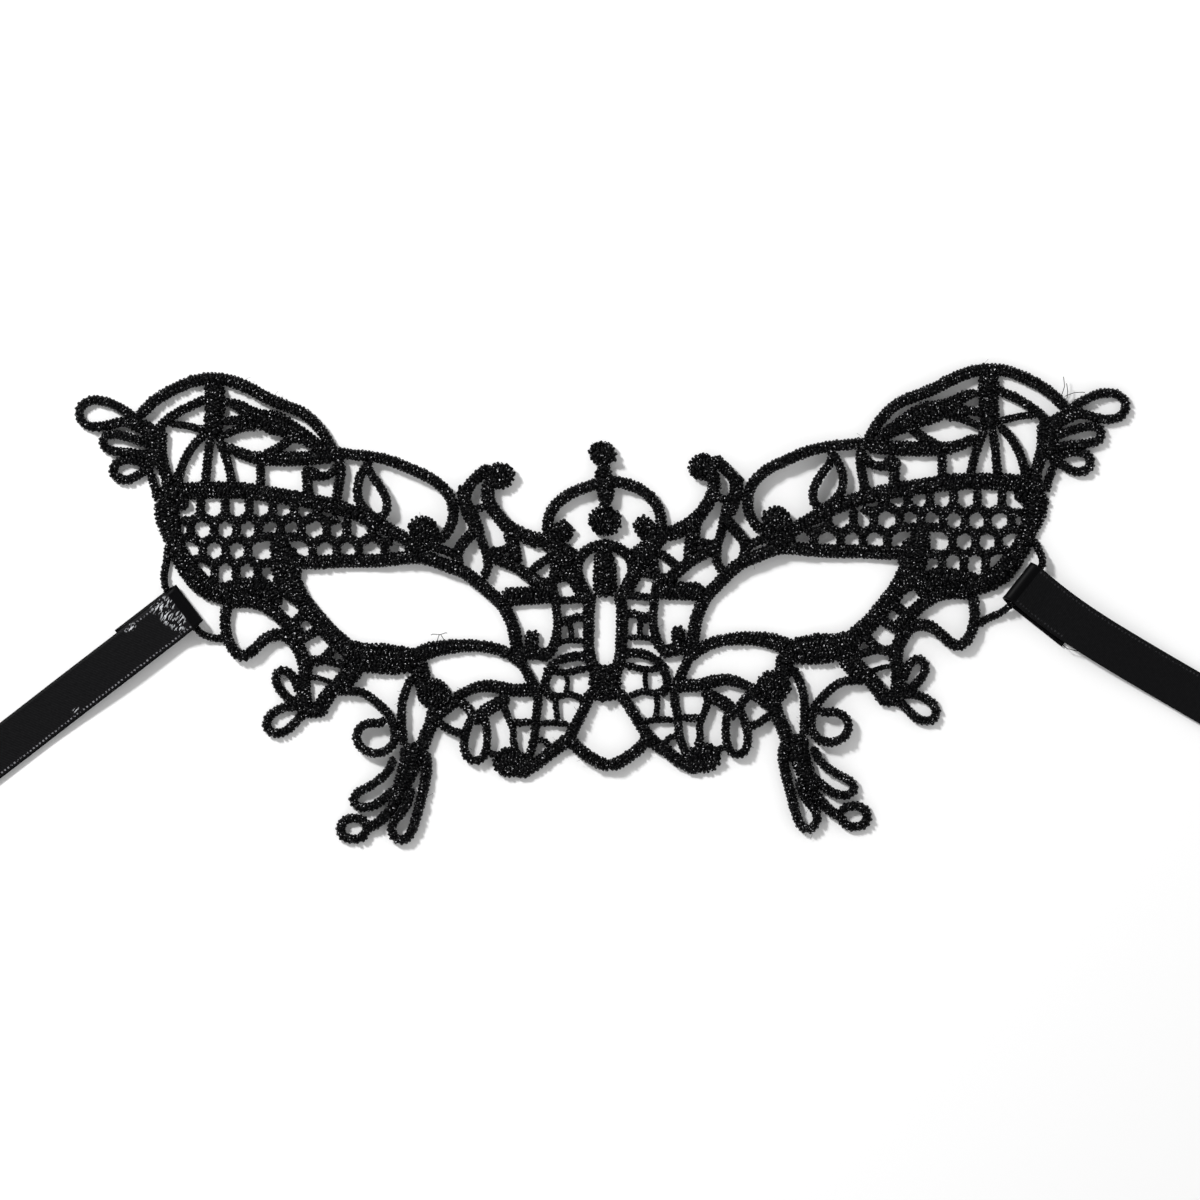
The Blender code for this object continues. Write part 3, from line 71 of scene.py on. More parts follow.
# Strands of the left half: name, cord, width in cords at the start, middle and end, route
sideStrands = [
    ("wing loop upper", "loop", 1.1, 1.0, 1.1,
     ((46.4, 42.9), (47.9, 44.0), (49.6, 44.8), (51.2, 44.95), (52.3, 44.1), (52.1, 42.9), (50.9, 42.3),
      (49.3, 42.5), (47.9, 42.8), (46.4, 42.4))),
    ("wing loop middle", "loop", 1.0, 1.0, 1.0,
     ((45.3, 40.5), (46.9, 41.1), (48.6, 41.55), (49.8, 41.35), (49.8, 40.3), (48.9, 39.9), (47.0, 39.7),
      (45.3, 39.4))),
    ("wing loop lower", "loop", 1.0, 1.05, 1.0,
     ((45.1, 38.1), (46.3, 38.8), (47.7, 39.0), (48.7, 38.6), (48.9, 37.7), (48.3, 37.1), (47.3, 37.05),
      (46.1, 37.7), (45.1, 38.1))),
    ("wing root upper", "band", 0.7, 0.9, 1.0, ((47.4, 42.65), (45.9, 42.3), (44.6, 41.4))),
    ("wing root spine", "band", 1.0, 1.1, 0.9, ((45.4, 42.4), (44.9, 40.4), (44.7, 38.2))),
    ("wing side", "loop", 1.0, 0.95, 1.0, ((45.3, 37.7), (44.9, 36.6), (44.5, 35.0))),
    ("wing pillar", "band", 1.0, 0.8, 0.65,
     ((44.3, 42.0), (44.3, 40.0), (44.0, 38.5), (43.55, 37.0), (43.5, 35.4))),
    ("brow arch outer", "rim", 0.95, 1.05, 0.85,
     ((46.5, 43.2), (45.6, 44.15), (44.8, 44.9), (43.1, 45.95), (40.8, 46.9), (39.1, 47.1), (37.5, 46.95),
      (36.0, 46.45), (34.7, 45.8), (33.2, 45.0), (31.6, 44.35), (30.3, 43.85), (29.1, 43.0), (28.0, 41.7),
      (27.2, 40.4), (26.7, 39.2))),
    ("brow arch inner", "loop", 1.05, 1.05, 1.05,
     ((44.7, 41.6), (43.8, 42.8), (42.5, 43.7), (41.4, 44.3), (39.6, 45.1))),
    ("brow arch third", "loop", 0.85, 0.85, 0.9, ((43.4, 42.6), (42.0, 42.5), (39.6, 41.9))),
    ("flower pillar", "leaf", 1.0, 0.95, 0.9,
     ((38.95, 46.7), (38.75, 45.0), (38.85, 43.2), (39.0, 41.2))),
    ("fan outer", "loop", 1.0, 1.05, 1.1,
     ((39.9, 41.5), (41.1, 40.2), (41.9, 38.8), (42.4, 37.3), (42.5, 35.8))),
    ("fan middle", "loop", 1.0, 1.0, 1.05, ((39.2, 41.2), (39.5, 39.0), (39.8, 36.0))),
    ("fan inner", "net", 0.95, 0.95, 1.05, ((38.4, 41.2), (37.5, 38.7), (36.9, 36.0))),
    ("fan post", "loop", 1.05, 1.0, 1.1, ((34.2, 38.9), (34.2, 37.4), (34.2, 35.8))),
    ("fan stem", "loop", 1.2, 1.15, 1.25, ((29.6, 38.2), (29.55, 37.0), (29.4, 35.2))),
    ("leaf main", "leaf", 0.3, 1.15, 0.5,
     ((37.9, 44.85), (36.4, 44.4), (35.1, 43.5), (33.7, 42.9), (32.2, 42.5), (30.7, 41.7), (29.4, 41.0),
      (28.0, 40.1))),
    ("leaf middle", "loop", 1.0, 1.0, 1.6, ((38.2, 42.8), (36.8, 42.95), (35.0, 42.9))),
    ("leaf fork", "loop", 0.8, 0.9, 1.2, ((38.2, 41.3), (37.1, 41.75), (35.9, 42.25), (34.7, 42.45))),
    ("leaf lower", "band", 0.55, 0.95, 0.8,
     ((37.7, 40.4), (36.5, 39.8), (35.0, 39.25), (33.2, 39.15), (31.3, 39.1), (29.6, 39.15), (27.9, 39.3),
      (26.8, 39.4))),
    ("leaf vein", "loop", 1.0, 1.1, 1.2, ((33.9, 39.5), (32.4, 40.2), (31.2, 41.1), (30.4, 41.7))),
    ("hook post", "rim", 0.8, 0.8, 0.85,
     ((26.8, 40.0), (26.4, 39.2), (26.2, 38.0), (26.35, 36.7), (26.7, 34.8))),
    ("hook", "loop", 1.3, 0.95, 1.0, ((29.2, 37.6), (28.2, 37.35), (27.2, 37.6), (26.4, 38.5))),
    ("net rim", "band", 1.15, 0.95, 0.75,
     ((44.3, 35.25), (42.3, 35.75), (40.3, 35.95), (36.3, 35.95), (32.3, 35.4), (28.3, 34.7),
      (25.1, 33.8), (22.1, 32.4), (20.1, 31.3), (18.3, 30.1), (17.2, 29.0))),
    ("edge block upper", "leaf", 1.25, 1.15, 0.85,
     ((43.55, 35.0), (43.6, 33.8), (43.3, 32.3), (42.8, 30.7))),
    ("edge block lower", "leaf", 0.85, 1.0, 0.95,
     ((42.9, 30.9), (42.2, 29.3), (41.3, 27.9), (40.3, 26.7), (39.0, 25.9), (37.2, 25.4))),
    ("scallop", "rim", 0.85, 0.9, 1.2,
     ((37.6, 24.6), (37.75, 22.6), (37.4, 20.9), (36.7, 19.8), (35.9, 19.4), (35.1, 19.85), (34.2, 20.7),
      (33.4, 21.35), (32.5, 21.55), (31.6, 21.4), (30.7, 20.6), (30.0, 19.3), (29.55, 17.6))),
    ("scallop arch", "rim", 1.4, 1.1, 1.1,
     ((37.6, 24.9), (36.0, 25.0), (34.3, 24.7), (33.1, 24.0), (32.0, 23.1), (30.9, 22.1), (30.0, 21.2))),
    ("knot column", "leaf", 0.95, 1.0, 0.9, ((32.2, 31.2), (32.2, 29.4), (32.0, 27.6), (31.3, 26.0))),
    ("net foot", "leaf", 0.8, 0.9, 0.9, ((38.2, 25.9), (35.8, 26.3), (33.2, 26.4))),
    ("brow band", "rim", 1.15, 1.1, 1.05,
     ((31.9, 28.9), (29.3, 28.75), (26.3, 28.9), (23.3, 28.9), (21.3, 29.05), (19.3, 29.25),
      (17.5, 29.15), (15.8, 28.5), (14.1, 27.9), (12.8, 27.0), (11.4, 25.8), (10.2, 24.7), (9.4, 23.4),
      (8.9, 22.0), (8.6, 20.4), (8.3, 19.2))),
    ("cheek band", "band", 1.15, 1.1, 1.2,
     ((31.2, 27.2), (30.1, 25.0), (28.3, 22.8), (26.9, 21.3), (25.3, 20.0))),
    ("cheek leaf", "leaf", 1.15, 1.45, 1.15,
     ((25.9, 20.1), (24.0, 19.3), (22.0, 19.15), (20.2, 19.0), (18.6, 19.2))),
    ("eye under", "rim", 1.5, 0.95, 1.0,
     ((18.9, 19.3), (17.2, 20.0), (15.2, 20.35), (13.2, 20.45), (11.3, 20.25), (9.8, 19.8), (8.7, 19.2),
      (7.9, 18.5))),
    ("cheek bar 1", "loop", 1.2, 1.2, 1.2, ((31.6, 22.4), (30.6, 22.9), (29.6, 23.9))),
    ("cheek bar 2", "loop", 1.2, 1.15, 1.2, ((30.4, 20.9), (29.2, 21.6), (28.0, 22.3))),
    ("cheek bar 3", "loop", 1.2, 1.1, 1.2, ((30.2, 19.0), (28.3, 18.95), (27.3, 19.8), (26.6, 20.6))),
    ("cheek bar 4", "net", 0.9, 0.9, 1.0, ((28.0, 19.0), (26.9, 18.75), (25.6, 18.4))),
    ("cheek link", "leaf", 0.9, 0.95, 0.95, ((24.4, 18.6), (25.3, 17.5), (26.4, 16.4))),
    ("knot left", "band", 0.8, 0.85, 0.9, ((29.7, 18.2), (29.9, 16.8), (29.8, 15.2), (29.5, 13.9))),
    ("knot right", "band", 0.9, 0.95, 1.0, ((26.3, 16.9), (27.2, 15.8), (28.0, 14.7), (28.5, 13.9))),
    ("knot base", "band", 0.8, 0.9, 0.8, ((30.4, 13.95), (28.9, 13.9), (27.7, 14.1))),
    ("knot bar", "fine", 0.9, 0.85, 1.0, ((29.3, 17.35), (28.2, 17.15), (26.9, 16.7))),
    ("pair loop upper", "loop", 1.05, 1.0, 1.0,
     ((30.0, 15.4), (31.0, 14.9), (32.1, 15.85), (32.65, 16.8), (32.55, 17.7), (31.9, 18.0), (31.2, 17.6),
      (30.8, 16.9), (30.4, 15.9))),
    ("pair loop lower", "loop", 1.05, 1.0, 1.0,
     ((30.0, 14.2), (31.1, 14.4), (32.3, 14.1), (33.3, 13.4), (33.6, 12.5), (33.1, 11.8), (32.1, 11.75),
      (31.2, 12.3), (30.5, 13.1), (29.9, 13.6))),
    ("curl", "loop", 1.0, 1.0, 1.0,
     ((26.6, 15.9), (25.5, 15.9), (24.4, 15.85), (23.4, 15.4), (22.5, 14.7), (21.6, 13.8), (21.0, 12.8),
      (20.75, 11.7), (20.95, 10.7), (21.6, 10.0), (22.7, 9.7), (23.7, 9.95), (24.4, 10.6), (24.6, 11.5),
      (24.2, 12.3), (23.3, 12.75), (22.4, 12.7), (21.6, 13.0))),
    ("stalk left", "loop", 1.0, 1.0, 1.1,
     ((19.1, 17.3), (19.7, 16.0), (20.1, 14.4), (20.1, 12.6), (19.95, 10.6))),
    ("stalk right", "rim", 1.1, 1.15, 1.2, ((16.9, 14.4), (17.05, 12.9), (17.7, 11.4), (18.2, 10.0))),
    ("stalk knot", "band", 1.1, 1.2, 0.8, ((18.4, 18.9), (18.2, 17.4), (17.9, 16.0))),
    ("tassel body", "leaf", 1.2, 0.95, 0.7,
     ((19.1, 10.7), (19.1, 9.2), (19.6, 7.7), (20.15, 6.2), (20.8, 5.0))),
    ("tassel right", "loop", 1.3, 1.0, 1.0,
     ((17.8, 9.9), (17.6, 8.2), (17.9, 6.3), (18.3, 4.6), (18.8, 2.8), (19.3, 1.6), (20.1, 1.0),
      (20.9, 1.4), (21.1, 2.3), (20.7, 3.1), (20.0, 3.9), (19.4, 5.0), (19.2, 6.2))),
    ("tassel finger", "loop", 1.0, 0.95, 1.1,
     ((20.9, 9.3), (21.4, 8.0), (22.3, 7.1), (23.4, 6.35), (24.45, 5.8), (24.95, 5.0), (24.4, 4.35),
      (23.3, 4.35), (22.3, 4.85), (21.4, 5.6), (20.6, 6.2))),
    ("tassel tail", "loop", 1.2, 1.2, 1.1, ((20.5, 5.1), (21.4, 3.8), (22.5, 2.75), (23.5, 2.2))),
    ("tassel ring", "loop", 1.0, 1.05, 1.0,
     ((23.5, 2.2), (23.9, 2.95), (24.8, 3.2), (25.8, 3.0), (26.25, 2.1), (25.9, 1.35), (24.9, 1.1),
      (24.0, 1.4), (23.5, 2.2))),
    ("lower rim", "rim", 0.7, 1.05, 1.15,
     ((15.4, 15.1), (14.2, 15.6), (13.1, 16.1), (11.9, 16.4), (10.4, 16.3), (9.1, 16.0), (7.8, 16.0),
      (6.4, 16.0))),
    ("heart upper", "net", 1.0, 1.0, 1.0,
     ((16.8, 13.2), (15.9, 13.8), (15.1, 14.5), (14.2, 14.8), (13.5, 14.2), (13.0, 13.5), (12.6, 12.8))),
    ("heart lower", "net", 0.9, 0.85, 0.95, ((16.7, 12.9), (15.7, 12.3), (14.8, 11.85), (13.7, 11.65))),
    ("heart loop", "loop", 1.0, 0.95, 0.9,
     ((13.1, 13.4), (13.5, 12.4), (13.8, 11.3), (13.85, 10.2), (13.5, 9.3), (12.7, 8.95), (11.9, 9.4),
      (11.6, 10.5), (11.6, 12.0), (11.8, 13.2))),
    ("heart leaf", "rim", 1.1, 1.15, 1.0,
     ((9.4, 15.3), (10.4, 14.7), (11.5, 14.1), (12.3, 13.4), (12.65, 12.6))),
    ("heart tie", "loop", 0.8, 0.8, 0.8, ((11.6, 9.9), (11.0, 9.6), (10.2, 9.4))),
    ("stem curve", "net", 0.9, 0.75, 0.9,
     ((10.0, 14.9), (9.7, 13.8), (9.3, 12.9), (8.95, 11.9), (8.95, 10.8), (8.6, 9.8))),
    ("bar left", "net", 0.9, 0.85, 0.9, ((9.2, 12.8), (8.2, 12.75), (7.1, 12.85))),
    ("stem", "loop", 1.1, 0.95, 1.0,
     ((6.5, 16.0), (6.5, 14.6), (6.7, 13.2), (6.8, 11.8), (7.0, 10.6), (7.4, 9.4), (7.8, 8.6))),
    ("bar right", "fine", 1.1, 1.1, 1.1, ((6.4, 12.65), (5.0, 12.75), (3.4, 12.6))),
    ("bar upright", "fine", 1.0, 1.0, 1.1, ((4.7, 15.4), (4.7, 14.2), (4.5, 12.8))),
    ("bar cross", "fine", 1.1, 1.0, 1.1, ((6.9, 10.9), (6.0, 11.0), (5.2, 10.2))),
    ("cusp leaf", "rim", 1.2, 1.0, 1.2,
     ((3.2, 11.3), (4.3, 10.45), (5.4, 9.65), (6.5, 8.75), (7.7, 8.1), (8.9, 7.8))),
    ("nose spur", "rim", 0.85, 0.85, 0.95, ((8.4, 19.4), (7.9, 18.3), (7.3, 17.2), (6.8, 16.2))),
    ("shelf", "band", 1.15, 1.15, 1.05, ((10.0, 25.3), (8.0, 25.4), (6.4, 25.5), (4.9, 25.6))),
    ("shelf post", "loop", 1.2, 0.95, 1.4,
     ((5.2, 26.8), (4.85, 25.4), (4.65, 24.0), (4.55, 22.6), (4.7, 21.2), (5.1, 20.1), (5.8, 19.4))),
    ("shelf floor", "band", 0.8, 0.85, 0.8, ((8.6, 19.6), (7.1, 19.7), (5.2, 19.4))),
    ("shelf nub", "rim", 1.25, 1.1, 1.2, ((7.1, 21.9), (7.1, 20.3), (7.1, 19.4))),
    ("inner stem", "loop", 1.2, 1.0, 1.2,
     ((4.6, 18.9), (5.3, 18.0), (5.7, 17.0), (5.75, 16.0), (5.0, 15.3))),
    ("bud bar top", "fine", 1.2, 1.1, 1.3, ((5.8, 18.0), (3.8, 17.75), (1.6, 18.2))),
    ("bud bar mid", "fine", 0.9, 0.85, 1.0, ((3.7, 17.9), (3.55, 16.7), (3.7, 15.6))),
    ("bud bar low", "fine", 1.2, 1.1, 1.3, ((5.6, 15.7), (4.4, 15.4), (3.2, 15.55), (1.9, 15.0))),
    ("bud cap", "loop", 1.0, 1.1, 1.1, ((4.7, 18.8), (3.7, 19.2), (2.6, 19.4), (1.4, 19.3))),
    ("bud slit", "fine", 1.0, 0.9, 1.0, ((5.0, 20.2), (4.3, 20.75), (3.2, 20.95), (2.0, 20.9))),
    ("bud post", "fine", 1.0, 1.0, 1.0, ((3.5, 23.1), (3.2, 22.0), (3.2, 20.9))),
    ("bud beam", "net", 1.2, 0.9, 0.9, ((4.6, 22.9), (3.6, 22.9), (2.6, 23.3), (1.6, 23.2))),
    ("nose beam", "loop", 0.9, 0.85, 1.0, ((4.9, 24.9), (3.7, 24.95), (2.4, 25.1), (1.2, 25.2))),
    ("nose tie", "fine", 1.1, 1.1, 1.2, ((5.2, 26.8), (4.2, 27.1), (3.0, 27.2))),
    ("temple post", "loop", 1.1, 1.1, 1.1, ((4.7, 29.4), (4.8, 28.0), (5.1, 26.8))),
    ("temple roof", "loop", 1.3, 1.2, 1.2, ((5.6, 31.0), (5.2, 30.0), (4.2, 29.3), (3.0, 28.9))),
    ("temple floor", "loop", 1.0, 1.0, 1.0, ((7.5, 27.6), (6.9, 28.1), (6.2, 28.7), (5.0, 29.4))),
    ("temple base", "band", 0.7, 0.8, 0.7, ((7.3, 27.0), (6.1, 26.6), (5.0, 26.7))),
    ("horn left", "rim", 1.0, 1.0, 1.0,
     ((11.4, 38.3), (12.5, 37.3), (13.3, 36.5), (13.75, 35.5), (13.6, 34.5), (13.0, 33.5), (12.6, 32.4),
      (12.3, 31.3))),
    ("horn right", "rim", 1.1, 1.1, 1.3,
     ((10.9, 37.4), (11.5, 36.0), (11.4, 34.8), (10.7, 33.7), (9.8, 32.6), (8.8, 31.9), (7.6, 31.3),
      (6.2, 30.8))),
    ("horn bar", "loop", 0.9, 0.9, 0.9, ((13.1, 34.0), (12.2, 34.2), (11.2, 34.7))),
    ("horn foot left", "rim", 1.0, 0.95, 0.9,
     ((12.6, 32.3), (13.3, 31.4), (14.1, 30.5), (14.6, 29.5), (14.3, 28.2))),
    ("horn foot mid", "loop", 1.1, 1.1, 1.0,
     ((12.3, 31.6), (12.0, 30.6), (11.6, 29.6), (11.5, 28.3), (12.0, 27.1))),
    ("horn foot right", "rim", 1.0, 1.0, 1.0,
     ((11.6, 29.6), (10.6, 29.1), (9.6, 28.7), (8.6, 28.2), (7.4, 27.4), (6.4, 26.8))),
    ("horn cheek", "rim", 1.2, 1.1, 1.0, ((9.4, 32.2), (9.1, 31.0), (8.8, 29.8), (8.6, 28.4))),
    ("horn saddle", "loop", 1.0, 0.9, 0.9, ((11.3, 30.0), (10.5, 29.9), (9.6, 30.2), (8.9, 30.8))),
    ("shoulder loop", "rim", 0.9, 0.95, 0.85,
     ((26.7, 39.8), (25.3, 39.55), (23.8, 39.4), (22.0, 39.1), (20.3, 38.55), (18.8, 37.9), (17.3, 37.2),
      (16.3, 36.5), (15.4, 35.5), (15.0, 34.4), (14.95, 33.2), (15.3, 32.2), (16.2, 31.1), (17.2, 30.9))),
    ("teardrop loop", "loop", 1.0, 1.0, 1.0,
     ((23.2, 39.0), (24.0, 37.8), (24.5, 36.4), (24.3, 34.8), (23.4, 33.7), (22.5, 33.2), (21.7, 33.7),
      (21.6, 35.0), (22.3, 36.4), (23.2, 37.6), (23.5, 38.6))),
    ("shoulder tie", "loop", 1.1, 1.0, 1.0, ((17.6, 30.6), (16.6, 30.2), (15.4, 29.8), (14.6, 29.4))),
    ("horn web", "loop", 1.0, 1.1, 0.9, ((14.2, 36.3), (13.9, 34.4), (13.2, 32.5))),
    ("cheek corner", "leaf", 0.8, 0.8, 0.6, ((32.0, 26.3), (31.1, 25.7), (30.4, 24.8))),
    ("net corner", "band", 0.9, 0.9, 0.9, ((42.6, 34.7), (41.4, 34.6))),
    ("horn sweep", "band", 0.85, 0.95, 0.85,
     ((6.6, 31.4), (5.2, 30.3), (4.1, 29.0), (3.1, 27.5), (2.2, 26.0), (1.7, 24.8))),
    ("cheek web lower", "rim", 1.1, 1.2, 1.0, ((33.9, 26.0), (33.0, 25.4), (32.2, 24.6))),
    ("cheek web", "leaf", 1.0, 1.05, 0.9, ((32.9, 27.0), (31.9, 26.3), (30.9, 25.6))),
    ("knot web", "leaf", 0.9, 1.0, 0.9, ((31.4, 30.2), (31.3, 28.6), (30.9, 27.0))),
]

# Strands that cross or touch the centre line; squares past it are below zero
centreStrands = [
    ("crown stem", "band", 0.95, 1.2, 0.85, ((0.1, 38.4), (-0.1, 37.2), (-0.3, 36.0), (-0.25, 34.4))),
    ("crown arch left", "rim", 0.95, 0.95, 0.9,
     ((0.0, 36.9), (1.3, 36.4), (2.3, 36.05), (3.3, 35.6), (4.3, 34.9), (5.1, 34.0), (5.5, 32.9),
      (5.5, 31.7), (5.2, 30.6))),
    ("crown arch right", "rim", 0.95, 0.95, 0.9,
     ((-0.4, 36.9), (-1.7, 36.75), (-2.8, 36.45), (-3.8, 36.0), (-4.8, 35.2), (-5.5, 34.2), (-5.8, 33.0),
      (-5.8, 31.9), (-5.5, 30.8))),
    ("crown curl left", "leaf", 0.8, 1.05, 0.85, ((5.3, 30.9), (4.2, 31.7), (3.3, 32.6))),
    ("crown curl right", "leaf", 0.8, 1.0, 0.85, ((-5.4, 31.1), (-4.3, 32.0), (-3.6, 33.2))),
    ("hood", "rim", 0.95, 0.9, 0.95,
     ((1.3, 25.0), (2.0, 26.2), (2.6, 27.8), (2.3, 29.2), (1.3, 30.15), (-0.1, 30.5), (-1.5, 30.2),
      (-2.6, 29.3), (-3.0, 28.0), (-2.4, 26.5), (-1.7, 25.1))),
    ("hood drop", "leaf", 0.9, 1.15, 1.1, ((-0.1, 30.0), (-0.15, 28.4), (-0.2, 27.0), (-0.2, 25.4))),
    ("crown floor left", "band", 0.6, 0.7, 0.6, ((4.9, 30.6), (3.9, 30.2), (2.6, 29.5))),
    ("crown floor right", "band", 0.6, 0.7, 0.6, ((-5.2, 30.8), (-4.2, 30.4), (-2.9, 29.6))),
    ("nose side left", "rim", 1.0, 0.95, 1.1,
     ((1.1, 25.7), (1.4, 24.2), (1.45, 22.0), (1.4, 20.0), (1.1, 18.6), (0.5, 17.3))),
    ("nose side right", "rim", 1.0, 1.0, 1.1,
     ((-1.5, 25.7), (-1.9, 24.2), (-1.9, 22.0), (-1.8, 20.0), (-1.6, 18.7), (-1.1, 17.4))),
    ("nose knot", "leaf", 1.4, 1.5, 1.3, ((-0.3, 18.5), (-0.2, 16.7), (-0.15, 14.9))),
    ("cusp left upper", "rim", 1.0, 0.9, 1.05,
     ((1.2, 16.0), (1.6, 14.8), (2.2, 13.5), (2.9, 12.2), (3.4, 11.1))),
    ("cusp left lower", "rim", 1.05, 1.05, 1.1,
     ((3.4, 11.3), (2.6, 10.3), (1.6, 9.5), (0.5, 8.85), (-0.6, 8.4))),
    ("cusp right lower", "rim", 1.1, 1.0, 1.05,
     ((-0.6, 8.4), (-1.7, 8.85), (-2.8, 9.55), (-3.8, 10.4), (-4.6, 11.4))),
    ("cusp right upper", "rim", 1.0, 0.9, 1.05,
     ((-1.5, 16.0), (-2.4, 14.7), (-3.2, 13.4), (-3.9, 12.3), (-4.6, 11.3))),
]

# Balls of stitching: name, radius, squares out and up
sideBalls = [
    ("hook ball", 0.0019, 29.2, 37.6),
    ("shoulder ball", 0.0034, 17.9, 32.0),
    ("horn ball", 0.0033, 10.35, 37.4),
    ("stalk ball", 0.0038, 16.9, 15.6),
    ("fan ball", 0.0037, 9.3, 8.8),
    ("fan ball small", 0.0028, 8.1, 8.4),
]
centreBalls = [
    ("crown ball", 0.0031, 0.05, 39.6),
    ("crown drop", 0.0037, -0.2, 32.9),
]

# The cheek net: upper and lower edge of each row, and where its uprights stand
netRows = [
    (35.3, 33.1, (40.2, 37.75, 35.35, 33.0, 30.85, 28.6)),
    (33.1, 31.0, (41.2, 38.85, 36.6, 34.4, 32.2, 30.1, 27.6, 25.6, 23.1)),
    (31.0, 28.9, (40.0, 37.7, 35.45, 29.0, 26.6, 24.4, 21.75, 19.35)),
    (28.9, 26.9, (38.8, 36.65, 34.5)),
]
# The lines between its rows: squares up, outer end, inner end
netLines = [(33.1, 42.2, 26.4), (31.0, 42.2, 21.0), (28.9, 41.4, 32.0)]
netWave = 0.28
netOverlap = 0.1

# How the right half lies against the mirrored left one, in squares to the right and up
layOut = (5.0, 13.0, 22.0, 32.0, 42.0, 52.0)
layUp = (5.0, 15.0, 25.0, 35.0, 45.0)
layRight = (
    (1.0, 0.9, 0.2, 0.1, 0.0, 0.0),
    (0.7, 0.5, -0.2, -0.4, -0.4, -0.4),
    (0.4, -0.1, -0.8, -0.8, -0.6, -0.4),
    (0.0, -0.5, -0.6, -0.3, -0.3, -0.2),
    (0.0, -0.6, -0.7, -0.4, -0.2, -0.1),
)
layRaised = (
    (0.3, 0.6, 1.2, 1.3, 1.2, 1.0),
    (0.3, 0.7, 1.0, 1.2, 1.0, 0.8),
    (0.35, 0.7, 1.0, 0.9, 0.9, 0.6),
    (0.7, 1.0, 1.0, 1.0, 0.8, 0.8),
    (0.5, 1.0, 1.0, 1.0, 0.9, 0.7),
)


def between(value, marks):
    value = min(max(value, marks[0]), marks[-1])
    for index in range(len(marks) - 1):
        if value <= marks[index + 1]:
            break
    return index, (value - marks[index]) / (marks[index + 1] - marks[index])


def layValue(table, out, up):
    column, across = between(out, layOut)
    row, along = between(up, layUp)
    low = table[row][column] * (1 - across) + table[row][column + 1] * across
    high = table[row + 1][column] * (1 - across) + table[row + 1][column + 1] * across
    return low * (1 - along) + high * along


def chartPoint(out, up, side=-1):
    # side -1 is the left half or the centre, side 1 the right half
    if side < 0:
        return np.array((-out * chart["squareX"], up * chart["squareY"]))
    return np.array(((out + layValue(layRight, out, up)) * chart["squareX"],
                     (up + layValue(layRaised, out, up)) * chart["squareY"]))


def smoothRoute(points, steps=8):
    # Catmull-Rom through the charted points
    points = [np.asarray(point, float) for point in points]
    ends = [2 * points[0] - points[1]] + points + [2 * points[-1] - points[-2]]
    route = []
    for index in range(len(points) - 1):
        a, b, c, d = ends[index:index + 4]
        for step in range(steps):
            t = step / steps
            route.append(0.5 * (2 * b + (c - a) * t + (2 * a - 5 * b + 4 * c - d) * t * t
                                + (3 * b - a - 3 * c + d) * t * t * t))
    route.append(points[-1])
    return np.array(route)


def netStrands():
    strands = []
    for number, (up, start, end) in enumerate(netLines):
        above, below = netRows[number][2], netRows[number + 1][2]
        marks = [(out, up + netWave) for out in above] + [(out, up - netWave) for out in below]
        marks = sorted([mark for mark in marks if end < mark[0] < start], reverse=True)
        strands.append(("net line", "net", 1.0, 1.0, 1.0, [(start, up)] + marks + [(end, up)]))
    for top, bottom, bars in netRows:
        for out in bars:
            strands.append(("net upright", "net", 1.0, 0.95, 1.0,
                            [(out, top + netOverlap), (out, bottom - netOverlap)]))
    return strands


# The side loops that carry the ribbons
tieLoops = {
    "left": ("tie loop left", "loop", 0.95, 0.72, 0.95,
             ((43.4, 30.6), (43.6, 29.0), (43.85, 27.4), (43.63, 26.18), (42.8, 25.1), (41.95, 24.0),
              (41.1, 22.9), (40.27, 21.82), (39.3, 21.3), (38.3, 21.15), (37.5, 21.3))),
    "right": ("tie loop right", "loop", 0.95, 0.72, 0.95,
              ((-42.9, 31.2), (-43.5, 30.1), (-43.9, 28.66), (-43.07, 27.6), (-42.2, 26.5),
               (-41.33, 25.4), (-40.5, 24.34), (-39.5, 23.6), (-38.3, 23.1), (-37.3, 22.4))),
}


class Cord:
    # One strand laid out on the table: where it runs, how wide it is and how high its underside lies
    def __init__(self, strand, side, lift):
        _, cord, start, middle, end, route = strand
        self.route = smoothRoute([chartPoint(out, up, side) for out, up in route])
        legs = np.linalg.norm(np.diff(self.route, axis=0), axis=1)
        self.marks = np.concatenate([[0.0], np.cumsum(legs)])
        self.length = self.marks[-1]
        share = np.linspace(0, 1, len(self.route))
        self.halfWidths = chart["cords"][cord] / 2 * np.interp(share, (0, 0.5, 1), (start, middle, end))
        room = np.minimum(self.marks, self.length - self.marks) / (chart["endReach"] * self.halfWidths)
        self.halfWidths *= np.sqrt(1 - (1 - np.clip(room + chart["endBlunt"], 0, 1)) ** 2)
        self.lifts = lift(self.route)

    def at(self, marks):
        # places, directions, half widths and lifts at distances along the cord
        places = np.stack([np.interp(marks, self.marks, self.route[:, axis]) for axis in (0, 1)], axis=1)
        slopes = np.gradient(self.route, axis=0)
        ahead = np.stack([np.interp(marks, self.marks, slopes[:, axis]) for axis in (0, 1)], axis=1)
        ahead /= np.linalg.norm(ahead, axis=1, keepdims=True)
        return (places, ahead, np.interp(marks, self.marks, self.halfWidths),
                np.interp(marks, self.marks, self.lifts))


ballShape = {"firstAngle": 0.12, "rings": 15, "mostTilt": 0.5}


